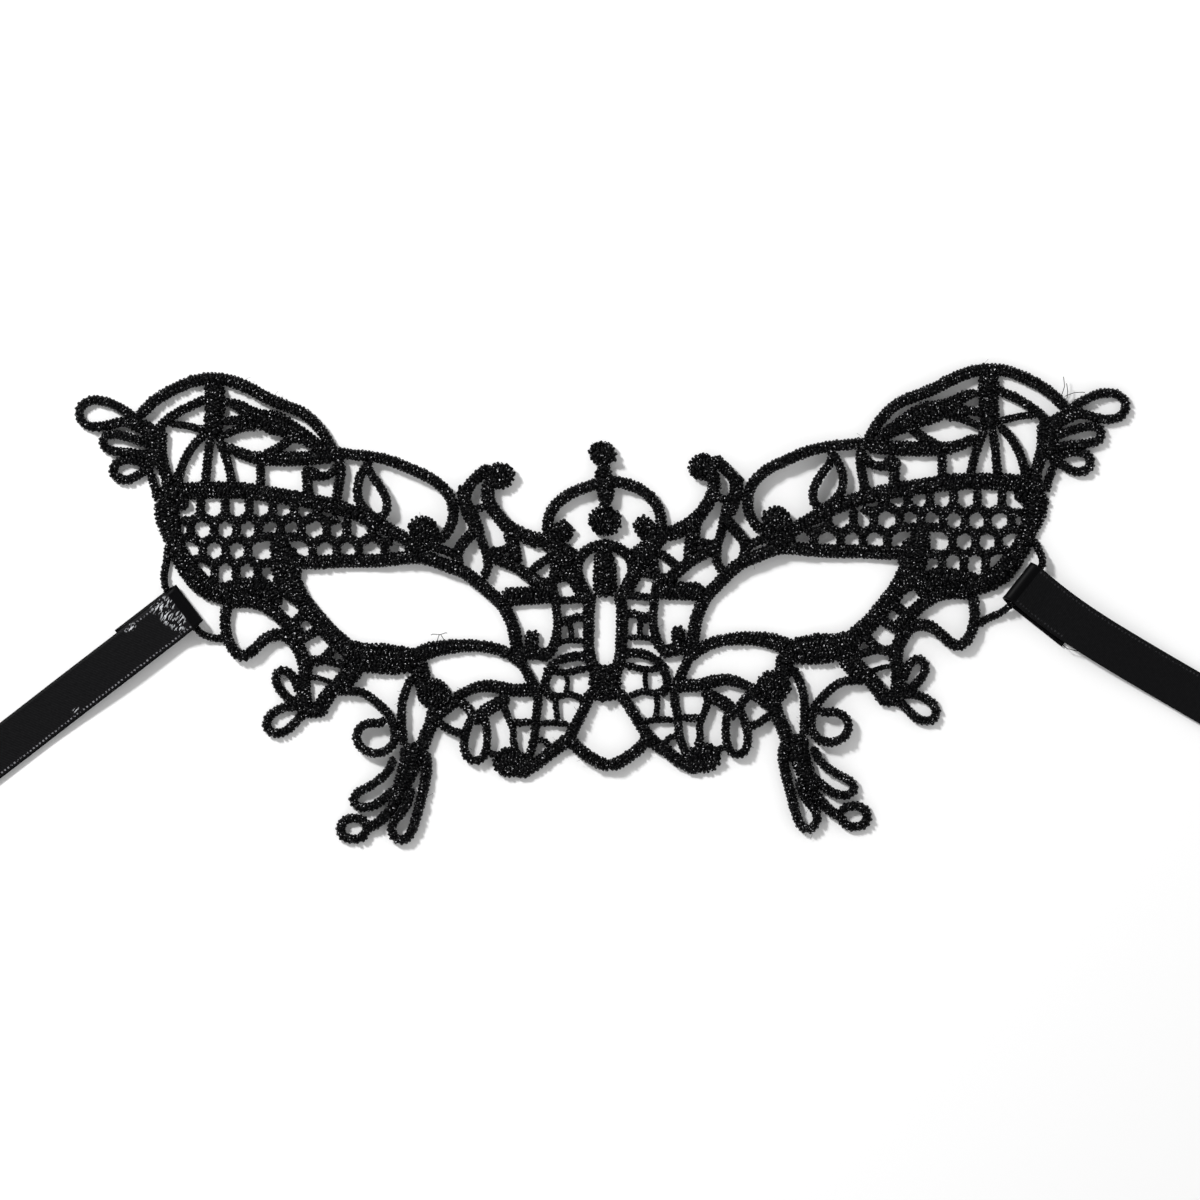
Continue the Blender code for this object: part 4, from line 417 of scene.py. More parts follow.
class Ball(Cord):
    # A ball of stitching is a short cord as wide as the ball is at each place
    def __init__(self, radius, centre):
        angles = np.linspace(ballShape["firstAngle"], math.pi - ballShape["firstAngle"], ballShape["rings"])
        tilt = dice.uniform(-ballShape["mostTilt"], ballShape["mostTilt"])
        ahead = np.array((math.cos(tilt), math.sin(tilt)))
        self.route = centre + np.outer(-np.cos(angles) * radius, ahead)
        self.marks = radius * (np.cos(angles[0]) - np.cos(angles))
        self.length = self.marks[-1]
        self.halfWidths = radius * np.sin(angles)
        self.lifts = standOff(self.route)


# Camera, table and light
photo = {"pixels": 1200, "centreLine": 603, "lowestStitch": 850, "pixelsASquare": 10,
         "lens": 120, "sensor": 36}

# Where the lace stands off the table: squares out and up, height and reach
liftPlaces = [
    (20.0, 37.0, 0.0015, 0.014), (34.0, 44.5, 0.0009, 0.012), (46.0, 42.5, 0.0007, 0.008),
    (33.0, 31.0, 0.0009, 0.012), (16.0, 28.5, 0.0011, 0.012), (35.0, 20.5, 0.0010, 0.008),
    (25.0, 18.5, 0.0007, 0.010), (22.5, 11.0, 0.0013, 0.009), (12.0, 12.0, 0.0010, 0.010),
    (10.5, 36.0, 0.0008, 0.009), (0.0, 36.0, 0.0012, 0.010), (0.0, 11.0, 0.0013, 0.009),
    (20.5, 3.5, 0.0007, 0.007), (5.0, 23.0, 0.0006, 0.008),
]


def standOff(route):
    # height of the lace's underside above the table at places on the chart
    height = np.zeros(len(route))
    for out, up, lift, reach in liftPlaces:
        for side in (-1, 1) if out else (-1,):
            away = np.linalg.norm(route - chartPoint(out, up, side), axis=1)
            height += lift * np.exp(-(away / reach) ** 2)
    return height


allCords = []
for strand in sideStrands + netStrands():
    allCords += [Cord(strand, -1, standOff), Cord(strand, 1, standOff)]
allCords += [Cord(strand, -1, standOff) for strand in centreStrands]
chartLow = np.min([(cord.route - cord.halfWidths[:, None]).min(axis=0) for cord in allCords], axis=0)
chartHigh = np.max([(cord.route + cord.halfWidths[:, None]).max(axis=0) for cord in allCords], axis=0)
seat = (np.array(panelLow[:2]) + np.array(panelHigh[:2])) / 2 - (chartLow + chartHigh) / 2


def makeCamera():
    # straight above the table, so that one chart square covers ten pixels
    squares = photo["pixels"] / photo["pixelsASquare"]
    halfView = math.atan(photo["sensor"] / 2 / photo["lens"])
    middle = seat + chartPoint((photo["centreLine"] - photo["pixels"] / 2) / photo["pixelsASquare"],
                               (photo["lowestStitch"] - photo["pixels"] / 2) / photo["pixelsASquare"])
    data = bpy.data.cameras.new("overheadCamera")
    data.lens = photo["lens"]
    data.sensor_width = photo["sensor"]
    camera = bpy.data.objects.new("overheadCamera", data)
    camera.location = (*middle, squares * chart["squareX"] / 2 / math.tan(halfView))
    bpy.context.collection.objects.link(camera)
    bpy.context.scene.camera = camera


class Shade:
    # Wraps a socket, so that shader maths reads as plain expressions
    def __init__(self, socket):
        self.socket = socket
        self.tree = socket.id_data

    def maths(self, operation, other, swapped=False):
        first, second = (other, self) if swapped else (self, other)
        return Shade.node(self.tree, "ShaderNodeMath", {"operation": operation}, {0: first, 1: second})

    def __add__(self, other):
        return self.maths("ADD", other)

    def __radd__(self, other):
        return self.maths("ADD", other, True)

    def __sub__(self, other):
        return self.maths("SUBTRACT", other)

    def __rsub__(self, other):
        return self.maths("SUBTRACT", other, True)

    def __mul__(self, other):
        return self.maths("MULTIPLY", other)

    def __rmul__(self, other):
        return self.maths("MULTIPLY", other, True)

    def __truediv__(self, other):
        return self.maths("DIVIDE", other)

    def __rtruediv__(self, other):
        return self.maths("DIVIDE", other, True)

    def __mod__(self, other):
        return self.maths("FLOORED_MODULO", other)

    def __rmod__(self, other):
        return self.maths("FLOORED_MODULO", other, True)

    def __gt__(self, other):
        return self.maths("GREATER_THAN", other)

    def __lt__(self, other):
        return self.maths("LESS_THAN", other)

    @staticmethod
    def node(tree, kind, settings=None, inputs=None, output=0):
        made = tree.nodes.new(kind)
        for key, value in (settings or {}).items():
            setattr(made, key, value)
        for key, value in (inputs or {}).items():
            if isinstance(value, Shade):
                tree.links.new(value.socket, made.inputs[key])
            else:
                made.inputs[key].default_value = value
        return Shade(made.outputs[output])


def newMaterial(name):
    material = bpy.data.materials.new(name)
    material.use_nodes = True
    return material, material.node_tree, material.node_tree.nodes["Principled BSDF"]


def feed(tree, shader, **sockets):
    # changing values go to the shader by socket name
    names = {"baseColor": "Base Color", "roughness": "Roughness", "normal": "Normal",
             "coatWeight": "Coat Weight"}
    for key, value in sockets.items():
        tree.links.new(value.socket, shader.inputs[names[key]])


def noise(place, scale, detail):
    return Shade.node(place.tree, "ShaderNodeTexNoise", {},
                      {"Vector": place, "Scale": scale, "Detail": detail}, "Fac")


def mixColours(share, first, second):
    return Shade.node(share.tree, "ShaderNodeMix", {"data_type": "RGBA"},
                      {0: share, 6: first, 7: second}, 2)


def sizeOf(value):
    return Shade.node(value.tree, "ShaderNodeMath", {"operation": "ABSOLUTE"}, {0: value})


def bumps(height, strength, depth):
    return Shade.node(height.tree, "ShaderNodeBump", {},
                      {"Strength": strength, "Distance": depth, "Height": height})


# Materials
# the speck colour is a painted highlight: fixed glints of the shiny thread in its base colour
threadLook = {"dark": (0.0008, 0.0008, 0.001, 1), "light": (0.004, 0.004, 0.0045, 1), "patchSize": 0.0016,
              "patchDetail": 3.0, "roughLow": 0.26, "roughHigh": 0.50, "specular": 0.03,
              "fibreSize": 0.00030, "fibreDetail": 2.0, "bumpStrength": 0.8, "bumpDepth": 0.00010,
              "sparkleSize": 0.00040, "sparkleDetail": 1.0, "sparkleFrom": 0.60, "coatRoughness": 0.30,
              "paintedGlint": (0.75, 0.75, 0.78, 1), "paintedGlintFrom": 0.725}


def makeThreadMaterial(name):
    look = threadLook
    material, tree, shader = newMaterial(name)
    place = Shade.node(tree, "ShaderNodeTexCoord", output="Object")
    patches = noise(place, 1 / look["patchSize"], look["patchDetail"])
    fibres = noise(place, 1 / look["fibreSize"], look["fibreDetail"])
    sparkles = noise(place, 1 / look["sparkleSize"], look["sparkleDetail"])
    colour = mixColours(patches, look["dark"], look["light"])
    # painted highlight: grey-white specks where the fine noise is high stand for glints on the thread
    colour = mixColours(sparkles > look["paintedGlintFrom"], colour, look["paintedGlint"])
    rough = look["roughLow"] + patches * (look["roughHigh"] - look["roughLow"])
    shader.inputs["Specular IOR Level"].default_value = look["specular"]
    shader.inputs["Coat Roughness"].default_value = look["coatRoughness"]
    feed(tree, shader, baseColor=colour, roughness=rough, coatWeight=sparkles > look["sparkleFrom"],
         normal=bumps(fibres, look["bumpStrength"], look["bumpDepth"]))
    return material


satinLook = {"dark": (0.0015, 0.0015, 0.0018, 1), "light": (0.016, 0.016, 0.017, 1), "specular": 0.05,
             "twillPitch": 0.38, "twillSlope": 0.42, "yarnScale": 1.7, "yarnDetail": 4.0,
             "bumpStrength": 0.6, "bumpDepth": 0.00006, "twillShare": 0.7, "yarnShare": 0.6,
             "roughness": 0.38, "roughSpread": 0.2, "barLength": 1.9,
             "paintedGlare": (0.55, 0.56, 0.58, 1), "dashTilt": 0.34, "dashesAlong": 0.75, "dashesAcross": 2.6,
             "dashDetail": 1.0, "dashFrom": 0.55, "selvageGlint": (0.30, 0.30, 0.32, 1), "selvageRow": 4.15,
             "selvageWidth": 0.2, "dotPitch": 0.9, "dotShare": 0.45, "dotFrom": 0.47}


def makeSatinMaterial(name, foldMark, flapMark, glintSpots, selvageShine):
    # the surface map holds millimetres along and across the ribbon
    look = satinLook
    material, tree, shader = newMaterial(name)
    spot = Shade.node(tree, "ShaderNodeUVMap", {"uv_map": "ribbonMap"})
    along = Shade.node(tree, "ShaderNodeSeparateXYZ", {}, {0: spot}, 0)
    across = Shade.node(tree, "ShaderNodeSeparateXYZ", {}, {0: spot}, 1)
    beyondBar = along > foldMark + look["barLength"]  # the bar along the fold is plain
    twill = ((along * look["twillSlope"] + across) / look["twillPitch"]) % 1.0
    ridge = (1 - sizeOf(twill * 2 - 1)) * beyondBar
    yarns = noise(spot, look["yarnScale"], look["yarnDetail"])
    colour = mixColours(yarns * ridge, look["dark"], look["light"])
    # painted highlight: light grey glare dashes that run nearly along the ribbon
    tilt = look["dashTilt"]
    lengthwise = (along * math.cos(tilt) + across * math.sin(tilt)) * look["dashesAlong"]
    crosswise = (across * math.cos(tilt) - along * math.sin(tilt)) * look["dashesAcross"]
    stretched = Shade.node(tree, "ShaderNodeCombineXYZ", {}, {"X": lengthwise, "Y": crosswise})
    dashes = (noise(stretched, 1.0, look["dashDetail"]) > look["dashFrom"]) * beyondBar
    # each spot is a patch of painted glare in the base colour
    for middle, side, length, width in glintSpots:
        far = ((along - middle) * (along - middle) / (length * length)
               + (across - side) * (across - side) / (width * width))
        colour = mixColours((1 - far) * (far < 1.0) * dashes, colour, look["paintedGlare"])
    # rows of painted highlight dots, glints on the picots near the edges, the upper one only as far as the
    # flap
    lowerRow = sizeOf(across - look["selvageRow"]) < look["selvageWidth"]
    upperRow = sizeOf(across + look["selvageRow"]) < look["selvageWidth"]
    rows = (lowerRow + upperRow * (along < flapMark)) * beyondBar * selvageShine
    glintDots = rows * ((along / look["dotPitch"]) % 1.0 < look["dotShare"]) * (yarns > look["dotFrom"])
    colour = mixColours(glintDots * yarns, colour, look["selvageGlint"])
    height = ridge * look["twillShare"] + yarns * look["yarnShare"]
    shader.inputs["Specular IOR Level"].default_value = look["specular"]
    feed(tree, shader, baseColor=colour, roughness=look["roughness"] + yarns * look["roughSpread"],
         normal=bumps(height, look["bumpStrength"], look["bumpDepth"]))
    return material


tableLook = {"colour": (0.93, 0.93, 0.93, 1), "roughness": 0.7, "halfSize": 6.0, "gap": 0.0001}


def makeTable():
    material, _, shader = newMaterial("white table")
    shader.inputs["Base Color"].default_value = tableLook["colour"]
    shader.inputs["Roughness"].default_value = tableLook["roughness"]
    size = tableLook["halfSize"]
    corners = [(-size, -size, 0), (size, -size, 0), (size, size, 0), (-size, size, 0)]
    mesh = bpy.data.meshes.new("table")
    mesh.from_pydata(corners, [], [(0, 1, 2, 3)])
    mesh.materials.append(material)
    table = bpy.data.objects.new("table", mesh)
    table.location.z = cadLow.z - tableLook["gap"]
    bpy.context.collection.objects.link(table)


studio = {"horizon": 1.10, "horizonUpTo": 0.45, "overhead": 0.12, "overheadFrom": 0.95,
          "key": 12.3, "keyPlace": (-0.62, 0.62, 0.70), "keySize": 0.16}


def makeLights():
    world = bpy.data.worlds.new("studio")
    world.use_nodes = True
    tree = world.node_tree
    direction = Shade.node(tree, "ShaderNodeTexCoord", output="Generated")
    up = Shade.node(tree, "ShaderNodeSeparateXYZ", {}, {0: direction}, 2)
    strength = Shade.node(tree, "ShaderNodeMapRange", {"interpolation_type": "SMOOTHSTEP"},
                          {0: up, 1: studio["horizonUpTo"], 2: studio["overheadFrom"],
                           3: studio["horizon"], 4: studio["overhead"]})
    background = tree.nodes["Background"]
    background.inputs["Color"].default_value = (1, 1, 1, 1)
    tree.links.new(strength.socket, background.inputs["Strength"])
    bpy.context.scene.world = world
    data = bpy.data.lights.new("softbox", "AREA")
    data.energy = studio["key"]
    data.size = studio["keySize"]
    lamp = bpy.data.objects.new("softbox", data)
    lamp.location = studio["keyPlace"]
    lamp.rotation_euler = (-Vector(studio["keyPlace"])).to_track_quat("-Z", "Y").to_euler()
    bpy.context.collection.objects.link(lamp)
    bpy.context.scene.view_settings.view_transform = "Standard"


makeCamera()
makeTable()
makeLights()
print("camera, table and light")


# Mesh helpers
def newPiece(name, mesh, material):
    mesh.materials.append(material)
    piece = bpy.data.objects.new(name, mesh)
    bpy.context.collection.objects.link(piece)
    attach(piece, "root")
    return piece


def quadMesh(name, verts, quads):
    mesh = bpy.data.meshes.new(name)
    mesh.vertices.add(len(verts))
    mesh.vertices.foreach_set("co", np.asarray(verts, np.float32).ravel())
    mesh.loops.add(4 * len(quads))
    mesh.loops.foreach_set("vertex_index", np.asarray(quads, np.int32).ravel())
    mesh.polygons.add(len(quads))
    mesh.polygons.foreach_set("loop_start", np.arange(0, 4 * len(quads), 4, dtype=np.int32))
    mesh.update(calc_edges=True)
    mesh.validate()
    mesh.shade_smooth()
    return mesh


def tubeQuads(count, rings, sides):
    # faces of many capped tubes of six sides
    first = np.arange(count)[:, None, None] * rings * sides
    ring = np.arange(rings - 1)[None, :, None] * sides
    side = np.arange(sides)[None, None, :]
    nextSide = (side + 1) % sides
    walls = np.stack([first + ring + side, first + ring + nextSide,
                      first + ring + sides + nextSide, first + ring + sides + side], axis=-1)
    base = np.arange(count)[:, None] * rings * sides
    caps = []
    for cap in ((0, 1, 2, 3), (0, 3, 4, 5)):
        caps += [base + np.array([cap[::-1]]), base + (rings - 1) * sides + np.array([cap])]
    return np.concatenate([walls.reshape(-1, 4)] + caps)


def threadTubes(paths, radii, binormals):
    # vertices of six-sided tubes round paths, by tube, point and corner
    tangents = np.gradient(paths, axis=1)
    tangents /= np.linalg.norm(tangents, axis=2, keepdims=True)
    beside = np.broadcast_to(binormals[:, None, :], paths.shape)
    beside = beside - tangents * (beside * tangents).sum(axis=2, keepdims=True)
    beside /= np.linalg.norm(beside, axis=2, keepdims=True)
    above = np.cross(tangents, beside)
    angles = np.arange(stitching["sides"]) * 2 * math.pi / stitching["sides"]
    ring = (np.cos(angles)[None, None, :, None] * beside[:, :, None, :]
            + np.sin(angles)[None, None, :, None] * above[:, :, None, :])
    return paths[:, :, None, :] + ring * radii[:, :, None, None]


# Lace
stitching = {"pitch": 0.00084, "lane": 0.00140, "radius": 0.00040, "sides": 6, "inset": 0.00020,
             "leastHalf": 0.0001, "slant": 0.7, "hump": 0.00024, "sink": 0.6,
             "spots": (0.0, 0.09, 0.5, 0.91, 1.0), "taper": (0.66, 0.96, 1.0, 0.96, 0.66),
             "jitterAlong": 0.12, "jitterSpan": 0.015, "jitterSide": 0.00004, "jitterUp": 0.00008,
             "jitterRadius": 0.12}
padding = {"edge": 0.00030, "rise": 0.30, "riseLimit": 0.00075, "share": 0.84, "step": 0.0012,
           "topShare": 0.9, "sideShare": 0.7, "underside": 0.00008,
           "places": (-1.0, -0.6, 0.0, 0.6, 1.0, 0.6, 0.0, -0.6)}
fuzz = {"spacing": 0.030, "length": 0.0011, "radius": 0.000035, "height": 0.0006, "root": 0.8,
        "lengths": (0.4, 1.2), "heights": (0.4, 1.4), "droop": 0.5,
        "looseRadius": 0.00009, "looseHeight": 0.0012, "looseRise": 0.0006}


def coreTop(share, half):
    # height of the padding under the stitches, from its edges at share -1 and 1 to its middle
    rise = np.minimum(padding["rise"] * 2 * half, padding["riseLimit"])
    return (padding["edge"] + rise * (1 - share ** 2)) * np.sqrt(np.clip(1 - np.abs(share) ** 3, 0, 1))


def jitter(kind, count):
    # one small random difference for each stitch
    return dice.normal(0, stitching[kind], (count, 1))


def stitchPaths(cord):
    # arches of thread over a cord, in lanes side by side
    pitch = stitching["pitch"]
    lanes = max(1, round(2 * cord.halfWidths.max() / stitching["lane"]))
    share = np.array(stitching["spots"])
    paths, radii, binormals = [], [], []
    for lane in range(lanes):
        marks = np.arange(pitch * (0.25 + 0.5 * (lane % 2)), cord.length, pitch)
        count = len(marks)
        marks = np.clip(marks + dice.normal(0, stitching["jitterAlong"] * pitch, count), 0, cord.length)
        if not count:
            continue
        places, ahead, halves, lifts = cord.at(marks)
        sideways = np.stack([-ahead[:, 1], ahead[:, 0]], axis=1)
        spans = -1 + 2 * (lane + share[None, :]) / lanes + jitter("jitterSpan", count)
        spans = np.clip(spans, -1, 1)
        slant = stitching["slant"] * (1 if lane % 2 else -1) * pitch * (share - 0.5)
        radius = stitching["radius"] * (1 + jitter("jitterRadius", count))
        inner = np.maximum(halves - stitching["inset"], stitching["leastHalf"])[:, None]
        reach = inner * spans + jitter("jitterSide", count)
        flat = (places[:, None, :] + sideways[:, None, :] * reach[:, :, None]
                + ahead[:, None, :] * slant[None, :, None])
        humps = stitching["hump"] * np.sin(math.pi * share) + jitter("jitterUp", count)
        arch = np.maximum(coreTop(spans, halves[:, None]) + humps - radius * stitching["sink"], 0)
        height = lifts[:, None] + radius + arch
        paths.append(np.concatenate([flat + seat, height[:, :, None]], axis=2))
        radii.append(radius * np.array(stitching["taper"]))
        binormals.append(np.concatenate([ahead, np.zeros((count, 1))], axis=1))
    return paths, radii, binormals


def fuzzPaths(cord):
    # a few fine hairs that stand out of a cord's sides
    count = dice.poisson(cord.length / fuzz["spacing"])
    if not count:
        return [], [], []
    places, ahead, halves, lifts = cord.at(dice.uniform(0, cord.length, count))
    sideways = np.stack([-ahead[:, 1], ahead[:, 0]], axis=1) * dice.choice((-1, 1), (count, 1))
    share = np.array(stitching["spots"])[None, :, None]
    start = (places + sideways * halves[:, None] * fuzz["root"])[:, None, :]
    reach = fuzz["length"] * dice.uniform(*fuzz["lengths"], (count, 1, 1))
    bend = dice.uniform(-1, 1, (count, 1, 1))
    flat = start + reach * (sideways[:, None, :] * share + ahead[:, None, :] * bend * share ** 2)
    height = fuzz["height"] * dice.uniform(*fuzz["heights"], (count, 1))
    height = height * (1 - fuzz["droop"] * share[:, :, 0]) + lifts[:, None]
    radii = np.full((count, share.size), fuzz["radius"])
    return ([np.concatenate([flat + seat, height[:, :, None]], axis=2)], [radii],
            [np.tile((0.0, 0.0, 1.0), (count, 1))])


# Loose thread ends: piece, squares out and up, heading, length, turn along the way
looseThreads = [
    ("lace_wing_right", -45.8, 45.5, 1.0, 0.0040, 0.5), ("lace_wing_right", -46.1, 45.3, 0.6, 0.0046, -0.4),
    ("lace_wing_right", -46.3, 45.1, 1.3, 0.0034, 0.3), ("lace_wing_right", -45.6, 20.9, -1.1, 0.0046, 0.6),
    ("lace_middle_left", 15.9, 20.9, 1.3, 0.0032, 1.4), ("lace_middle_left", 16.5, 20.9, 2.0, 0.0028, -1.3),
    ("lace_middle_right", -14.0, 20.6, 1.6, 0.0028, 1.2),
]


def looseEnds(pieceName):
    paths = []
    share = np.array(stitching["spots"])
    for name, out, up, heading, length, turn in looseThreads:
        if name == pieceName:
            start = chartPoint(out, up) + seat
            angle = heading + turn * share
            height = fuzz["looseHeight"] + fuzz["looseRise"] * share
            paths.append(np.stack([start[0] + length * share * np.cos(angle),
                                   start[1] + length * share * np.sin(angle), height], axis=1))
    if not paths:
        return [], [], []
    radii = np.full((len(paths), share.size), fuzz["looseRadius"])
    return [np.array(paths)], [radii], [np.tile((0.0, 0.0, 1.0), (len(paths), 1))]


def coreRings(cord):
    # closed sections of the padding under the stitches
    count = max(2, math.ceil(cord.length / padding["step"]) + 1)
    places, ahead, halves, lifts = cord.at(np.linspace(0, cord.length, count))
    sideways = np.stack([-ahead[:, 1], ahead[:, 0]], axis=1)
    share = np.array(padding["places"])
    top = coreTop(share[None, :5] * padding["topShare"], halves[:, None])
    heights = np.concatenate([top, np.full((count, 3), padding["underside"])], axis=1)
    heights[:, [0, 4]] = padding["edge"] * padding["sideShare"]
    reach = halves[:, None] * share[None, :] * padding["share"]
    flat = places[:, None, :] + sideways[:, None, :] * reach[:, :, None]
    return np.concatenate([flat + seat, (heights + lifts[:, None])[:, :, None]], axis=2)


def ringQuads(rings, sides, offset):
    # faces of one core, closed at both ends by its eight-cornered sections
    first = offset + np.arange(rings - 1)[:, None] * sides
    side = np.arange(sides)[None, :]
    nextSide = (side + 1) % sides
    walls = np.stack([first + nextSide, first + side,
                      first + sides + side, first + sides + nextSide], axis=-1)
    near = offset + np.array([[0, 1, 6, 7], [1, 2, 5, 6], [2, 3, 4, 5]])
    far = offset + (rings - 1) * sides + np.array([[7, 6, 1, 0], [6, 5, 2, 1], [5, 4, 3, 2]])
    return np.concatenate([walls.reshape(-1, 4), near, far])


def makeLace(name, cords, material):
    paths, radii, binormals = [], [], []
    cores, coreFaces, count = [], [], 0
    for cord in cords:
        for whole, part, hairs in zip((paths, radii, binormals), stitchPaths(cord), fuzzPaths(cord)):
            whole += part + hairs
        rings = coreRings(cord)
        cores.append(rings.reshape(-1, 3))
        coreFaces.append(ringQuads(len(rings), rings.shape[1], count))
        count += rings.shape[0] * rings.shape[1]
    for whole, ends in zip((paths, radii, binormals), looseEnds(name)):
        whole += ends
    tubes = threadTubes(np.concatenate(paths), np.concatenate(radii), np.concatenate(binormals))
    quads = tubeQuads(tubes.shape[0], tubes.shape[1], tubes.shape[2])
    verts = np.concatenate([np.concatenate(cores), tubes.reshape(-1, 3)])
    faces = np.concatenate(coreFaces + [quads + count])
    piece = newPiece(name, quadMesh(name, verts, faces), material)
    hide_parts("lace_panel")
    print(name, "-", tubes.shape[0], "threads,", 2 * len(faces), "triangles")


# Ribbons
ribbon = {"width": 0.0100, "thick": 0.00038, "cadThick": 0.0010, "flap": 0.0150, "flapShift": 0.0008,
          "slopeStart": 0.0150, "slope": 0.0300, "foldDrop": 0.0050, "clearance": 0.0003, "step": 0.0015,
          "columns": 15, "foldSteps": 16, "loopWidth": 0.00160, "loopHeight": 0.00115, "loopSlope": 0.0034,
          "foldRoom": 0.0008, "foldLength": 0.0045, "squareness": 0.85, "flapGap": 0.0001, "endGap": 0.0004,
          "endStretch": 0.0012, "edgeBead": 0.35, "edgeFrom": 0.9, "flapSections": 9, "routeSteps": 24,
          "lookAhead": 0.001}
toMillimetres = 1000
ribbonRoutes = {
    "left": ((41.95, 24.0), (47.6, 19.65), (53.3, 15.3), (59.0, 10.9), (64.6, 6.6)),
    "right": ((-42.2, 26.5), (-45.5, 23.9), (-48.6, 21.75), (-52.6, 19.3), (-58.6, 15.8), (-64.3, 12.5)),
}


def ease(share):
    share = np.clip(share, 0, 1)
    return share * share * (3 - 2 * share)


def loopLift(middle):
    # the side loop rises over the ribbon's flap
    span = ribbon["width"] / 2 + ribbon["flapShift"] + ribbon["clearance"]
    base = ribbon["cadThick"] + ribbon["clearance"]
    slope = ribbon["loopSlope"]
    return lambda route: base * ease(1 - (np.linalg.norm(route - middle, axis=1) - span) / slope)


def ribbonSections(sideName):
    # middle, sideways direction and height of each section, from the flap's end to the free end
    route = smoothRoute([chartPoint(out, up) for out, up in ribbonRoutes[sideName]],
                        ribbon["routeSteps"]) + seat
    legs = np.linalg.norm(np.diff(route, axis=0), axis=1)
    marks = np.concatenate([[0.0], np.cumsum(legs)])
    heading = (route[1] - route[0]) / legs[0]
    across = np.array((-heading[1], heading[0]))
    base = ribbon["cadThick"] + ribbon["clearance"]
    flapLevel = ribbon["thick"] / 2 + ribbon["flapGap"]
    longLevel = base + ribbon["loopHeight"] + ribbon["clearance"] + ribbon["cadThick"] / 2
    restLevel = base + ribbon["cadThick"] / 2
    sections = []
    for back in np.linspace(ribbon["flap"], 0, ribbon["flapSections"]):
        sections.append((route[0] + heading * back - across * ribbon["flapShift"], across, flapLevel))
    straight = ribbon["loopWidth"] / 4
    reach = ribbon["loopWidth"] / 2 - straight + ribbon["foldRoom"] + ribbon["cadThick"] / 2
    middle, half = (flapLevel + longLevel) / 2, (longLevel - flapLevel) / 2
    for step in range(1, ribbon["foldSteps"]):
        angle = math.pi * step / ribbon["foldSteps"]
        rise = math.copysign(abs(math.cos(angle)) ** ribbon["squareness"], math.cos(angle))
        bulge = straight + reach * math.sin(angle) ** ribbon["squareness"]
        shift = across * -ribbon["flapShift"] * (1 - step / ribbon["foldSteps"])
        sections.append((route[0] - heading * bulge + shift, across, middle - half * rise))
    for mark in np.arange(0, marks[-1], ribbon["step"]):
        place = np.array([np.interp(mark, marks, route[:, axis]) for axis in (0, 1)])
        further = mark + ribbon["lookAhead"]
        ahead = np.array([np.interp(further, marks, route[:, axis]) for axis in (0, 1)]) - place
        if mark > marks[-1] - ribbon["endStretch"]:
            ahead = route[-1] - route[-3]
        ahead = ahead / np.linalg.norm(ahead)
        level = longLevel + (restLevel - longLevel) * ease(mark / ribbon["foldDrop"])
        lowered = ease((mark - ribbon["slopeStart"]) / ribbon["slope"])
        level += (flapLevel + ribbon["endGap"] - restLevel) * lowered
        sections.append((place, np.array((-ahead[1], ahead[0])), level))
    return sections


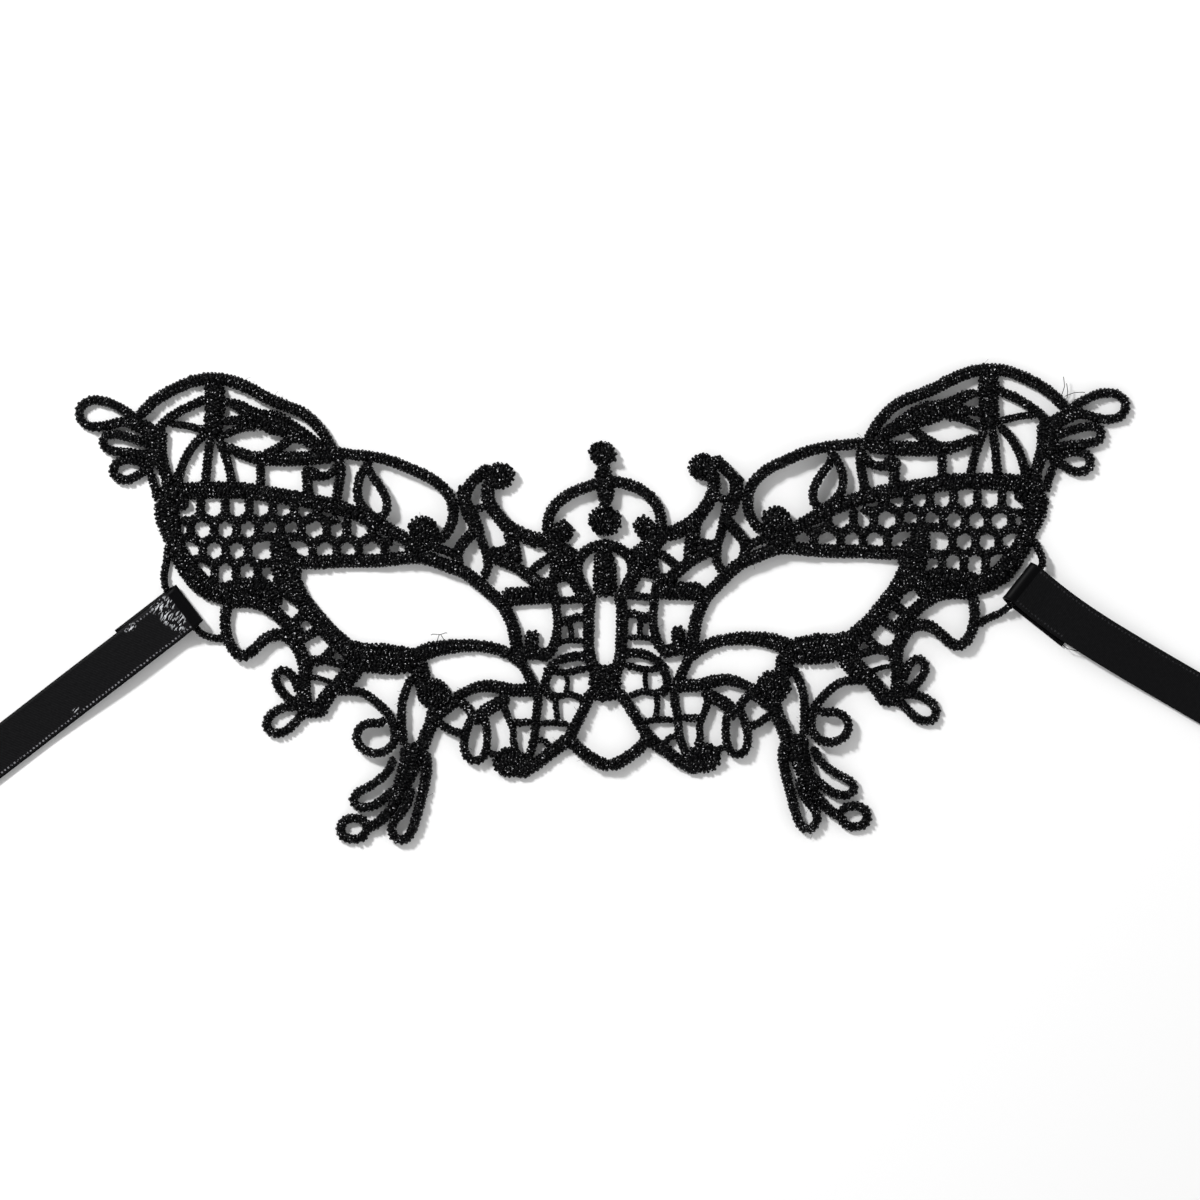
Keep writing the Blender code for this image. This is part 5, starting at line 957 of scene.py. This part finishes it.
def makeRibbon(name, sideName, material):
    sections = ribbonSections(sideName)
    centres = np.array([(*place, level) for place, _, level in sections])
    across = np.array([(*way, 0.0) for _, way, _ in sections])
    run = np.gradient(centres, axis=0)
    run /= np.linalg.norm(run, axis=1, keepdims=True)
    normals = np.cross(run, across)
    normals /= np.linalg.norm(normals, axis=1, keepdims=True)
    share = np.linspace(-1, 1, ribbon["columns"])
    bead = ribbon["thick"] / 2 * (1 + ribbon["edgeBead"] * (np.abs(share) > ribbon["edgeFrom"]))
    spread = centres[:, None, :] + across[:, None, :] * share[None, :, None] * ribbon["width"] / 2
    top = spread + normals[:, None, :] * bead[None, :, None]
    bottom = spread - normals[:, None, :] * bead[None, :, None]
    rings = np.concatenate([top, bottom[:, ::-1]], axis=1)
    count, sides = rings.shape[:2]
    verts = rings.reshape(-1, 3)
    faces = []
    for start in range(0, (count - 1) * sides, sides):
        for side in range(sides):
            other = (side + 1) % sides
            faces.append((start + side, start + other, start + sides + other, start + sides + side))
    for column in range(ribbon["columns"] - 1):
        near = (column, sides - 1 - column, sides - 2 - column, column + 1)
        faces.append(near)
        faces.append(tuple((count - 1) * sides + index for index in near[::-1]))
    mesh = quadMesh(name, verts, faces)
    legs = np.linalg.norm(np.diff(centres, axis=0), axis=1)
    along = np.concatenate([[0.0], np.cumsum(legs)]) * toMillimetres
    spots = np.zeros((len(verts), 2), np.float32)
    spots[:, 0] = np.repeat(along, sides)
    sidelong = np.concatenate([share, share[::-1]]) * ribbon["width"] * (toMillimetres / 2)
    spots[:, 1] = np.tile(sidelong, count)
    layer = mesh.uv_layers.new(name="ribbonMap")
    corners = np.zeros(len(mesh.loops), np.int32)
    mesh.loops.foreach_get("vertex_index", corners)
    layer.data.foreach_set("uv", spots[corners].ravel())
    piece = newPiece(name, mesh, material)
    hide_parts(name.replace("_satin", ""))


# Marks in millimetres along the ribbon, and the patches of painted highlight: along, across, half length,
# half width
foldMark = (ribbon["flap"] + ribbon["foldLength"]) * toMillimetres
flapMark = foldMark + ribbon["flap"] * toMillimetres
leftGlints = [(foldMark + past, side, length, width) for past, side, length, width in (
    (4.9, -3.9, 2.9, 1.8), (5.3, -0.8, 1.9, 2.3), (4.4, 2.1, 2.0, 1.9), (2.7, 1.0, 0.9, 2.0),
    (2.6, -2.6, 0.9, 1.4), (13.4, -4.0, 1.6, 0.9), (34.7, 3.1, 1.2, 0.5))]
selvageShine = {"left": 1.0, "right": 0.12}
leftSatin = makeSatinMaterial("left satin", foldMark, flapMark, leftGlints, selvageShine["left"])
rightSatin = makeSatinMaterial("right satin", foldMark, flapMark, [], selvageShine["right"])
makeRibbon("ribbon_left_satin", "left", leftSatin)
makeRibbon("ribbon_right_satin", "right", rightSatin)
print("ribbons")

thread = makeThreadMaterial("black embroidery thread")
wingFrom = 0.058  # cords whose middle lies further out belong to the wings
outer = [cord for cord in allCords if abs(cord.route[:, 0].mean()) > wingFrom]
inner = [cord for cord in allCords if abs(cord.route[:, 0].mean()) <= wingFrom]
for sideName, loop in tieLoops.items():
    outer.append(Cord(loop, -1, loopLift(chartPoint(*ribbonRoutes[sideName][0]))))
for _, radius, out, up in sideBalls:
    inner += [Ball(radius, chartPoint(out, up, -1)), Ball(radius, chartPoint(out, up, 1))]
for _, radius, out, up in centreBalls:
    inner.append(Ball(radius, chartPoint(out, up)))
for part, cords in (("wing", outer), ("middle", inner)):
    for sideName in ("left", "right"):
        chosen = [cord for cord in cords if (cord.route[:, 0].mean() < 0) == (sideName == "left")]
        makeLace("lace_" + part + "_" + sideName, chosen, thread)
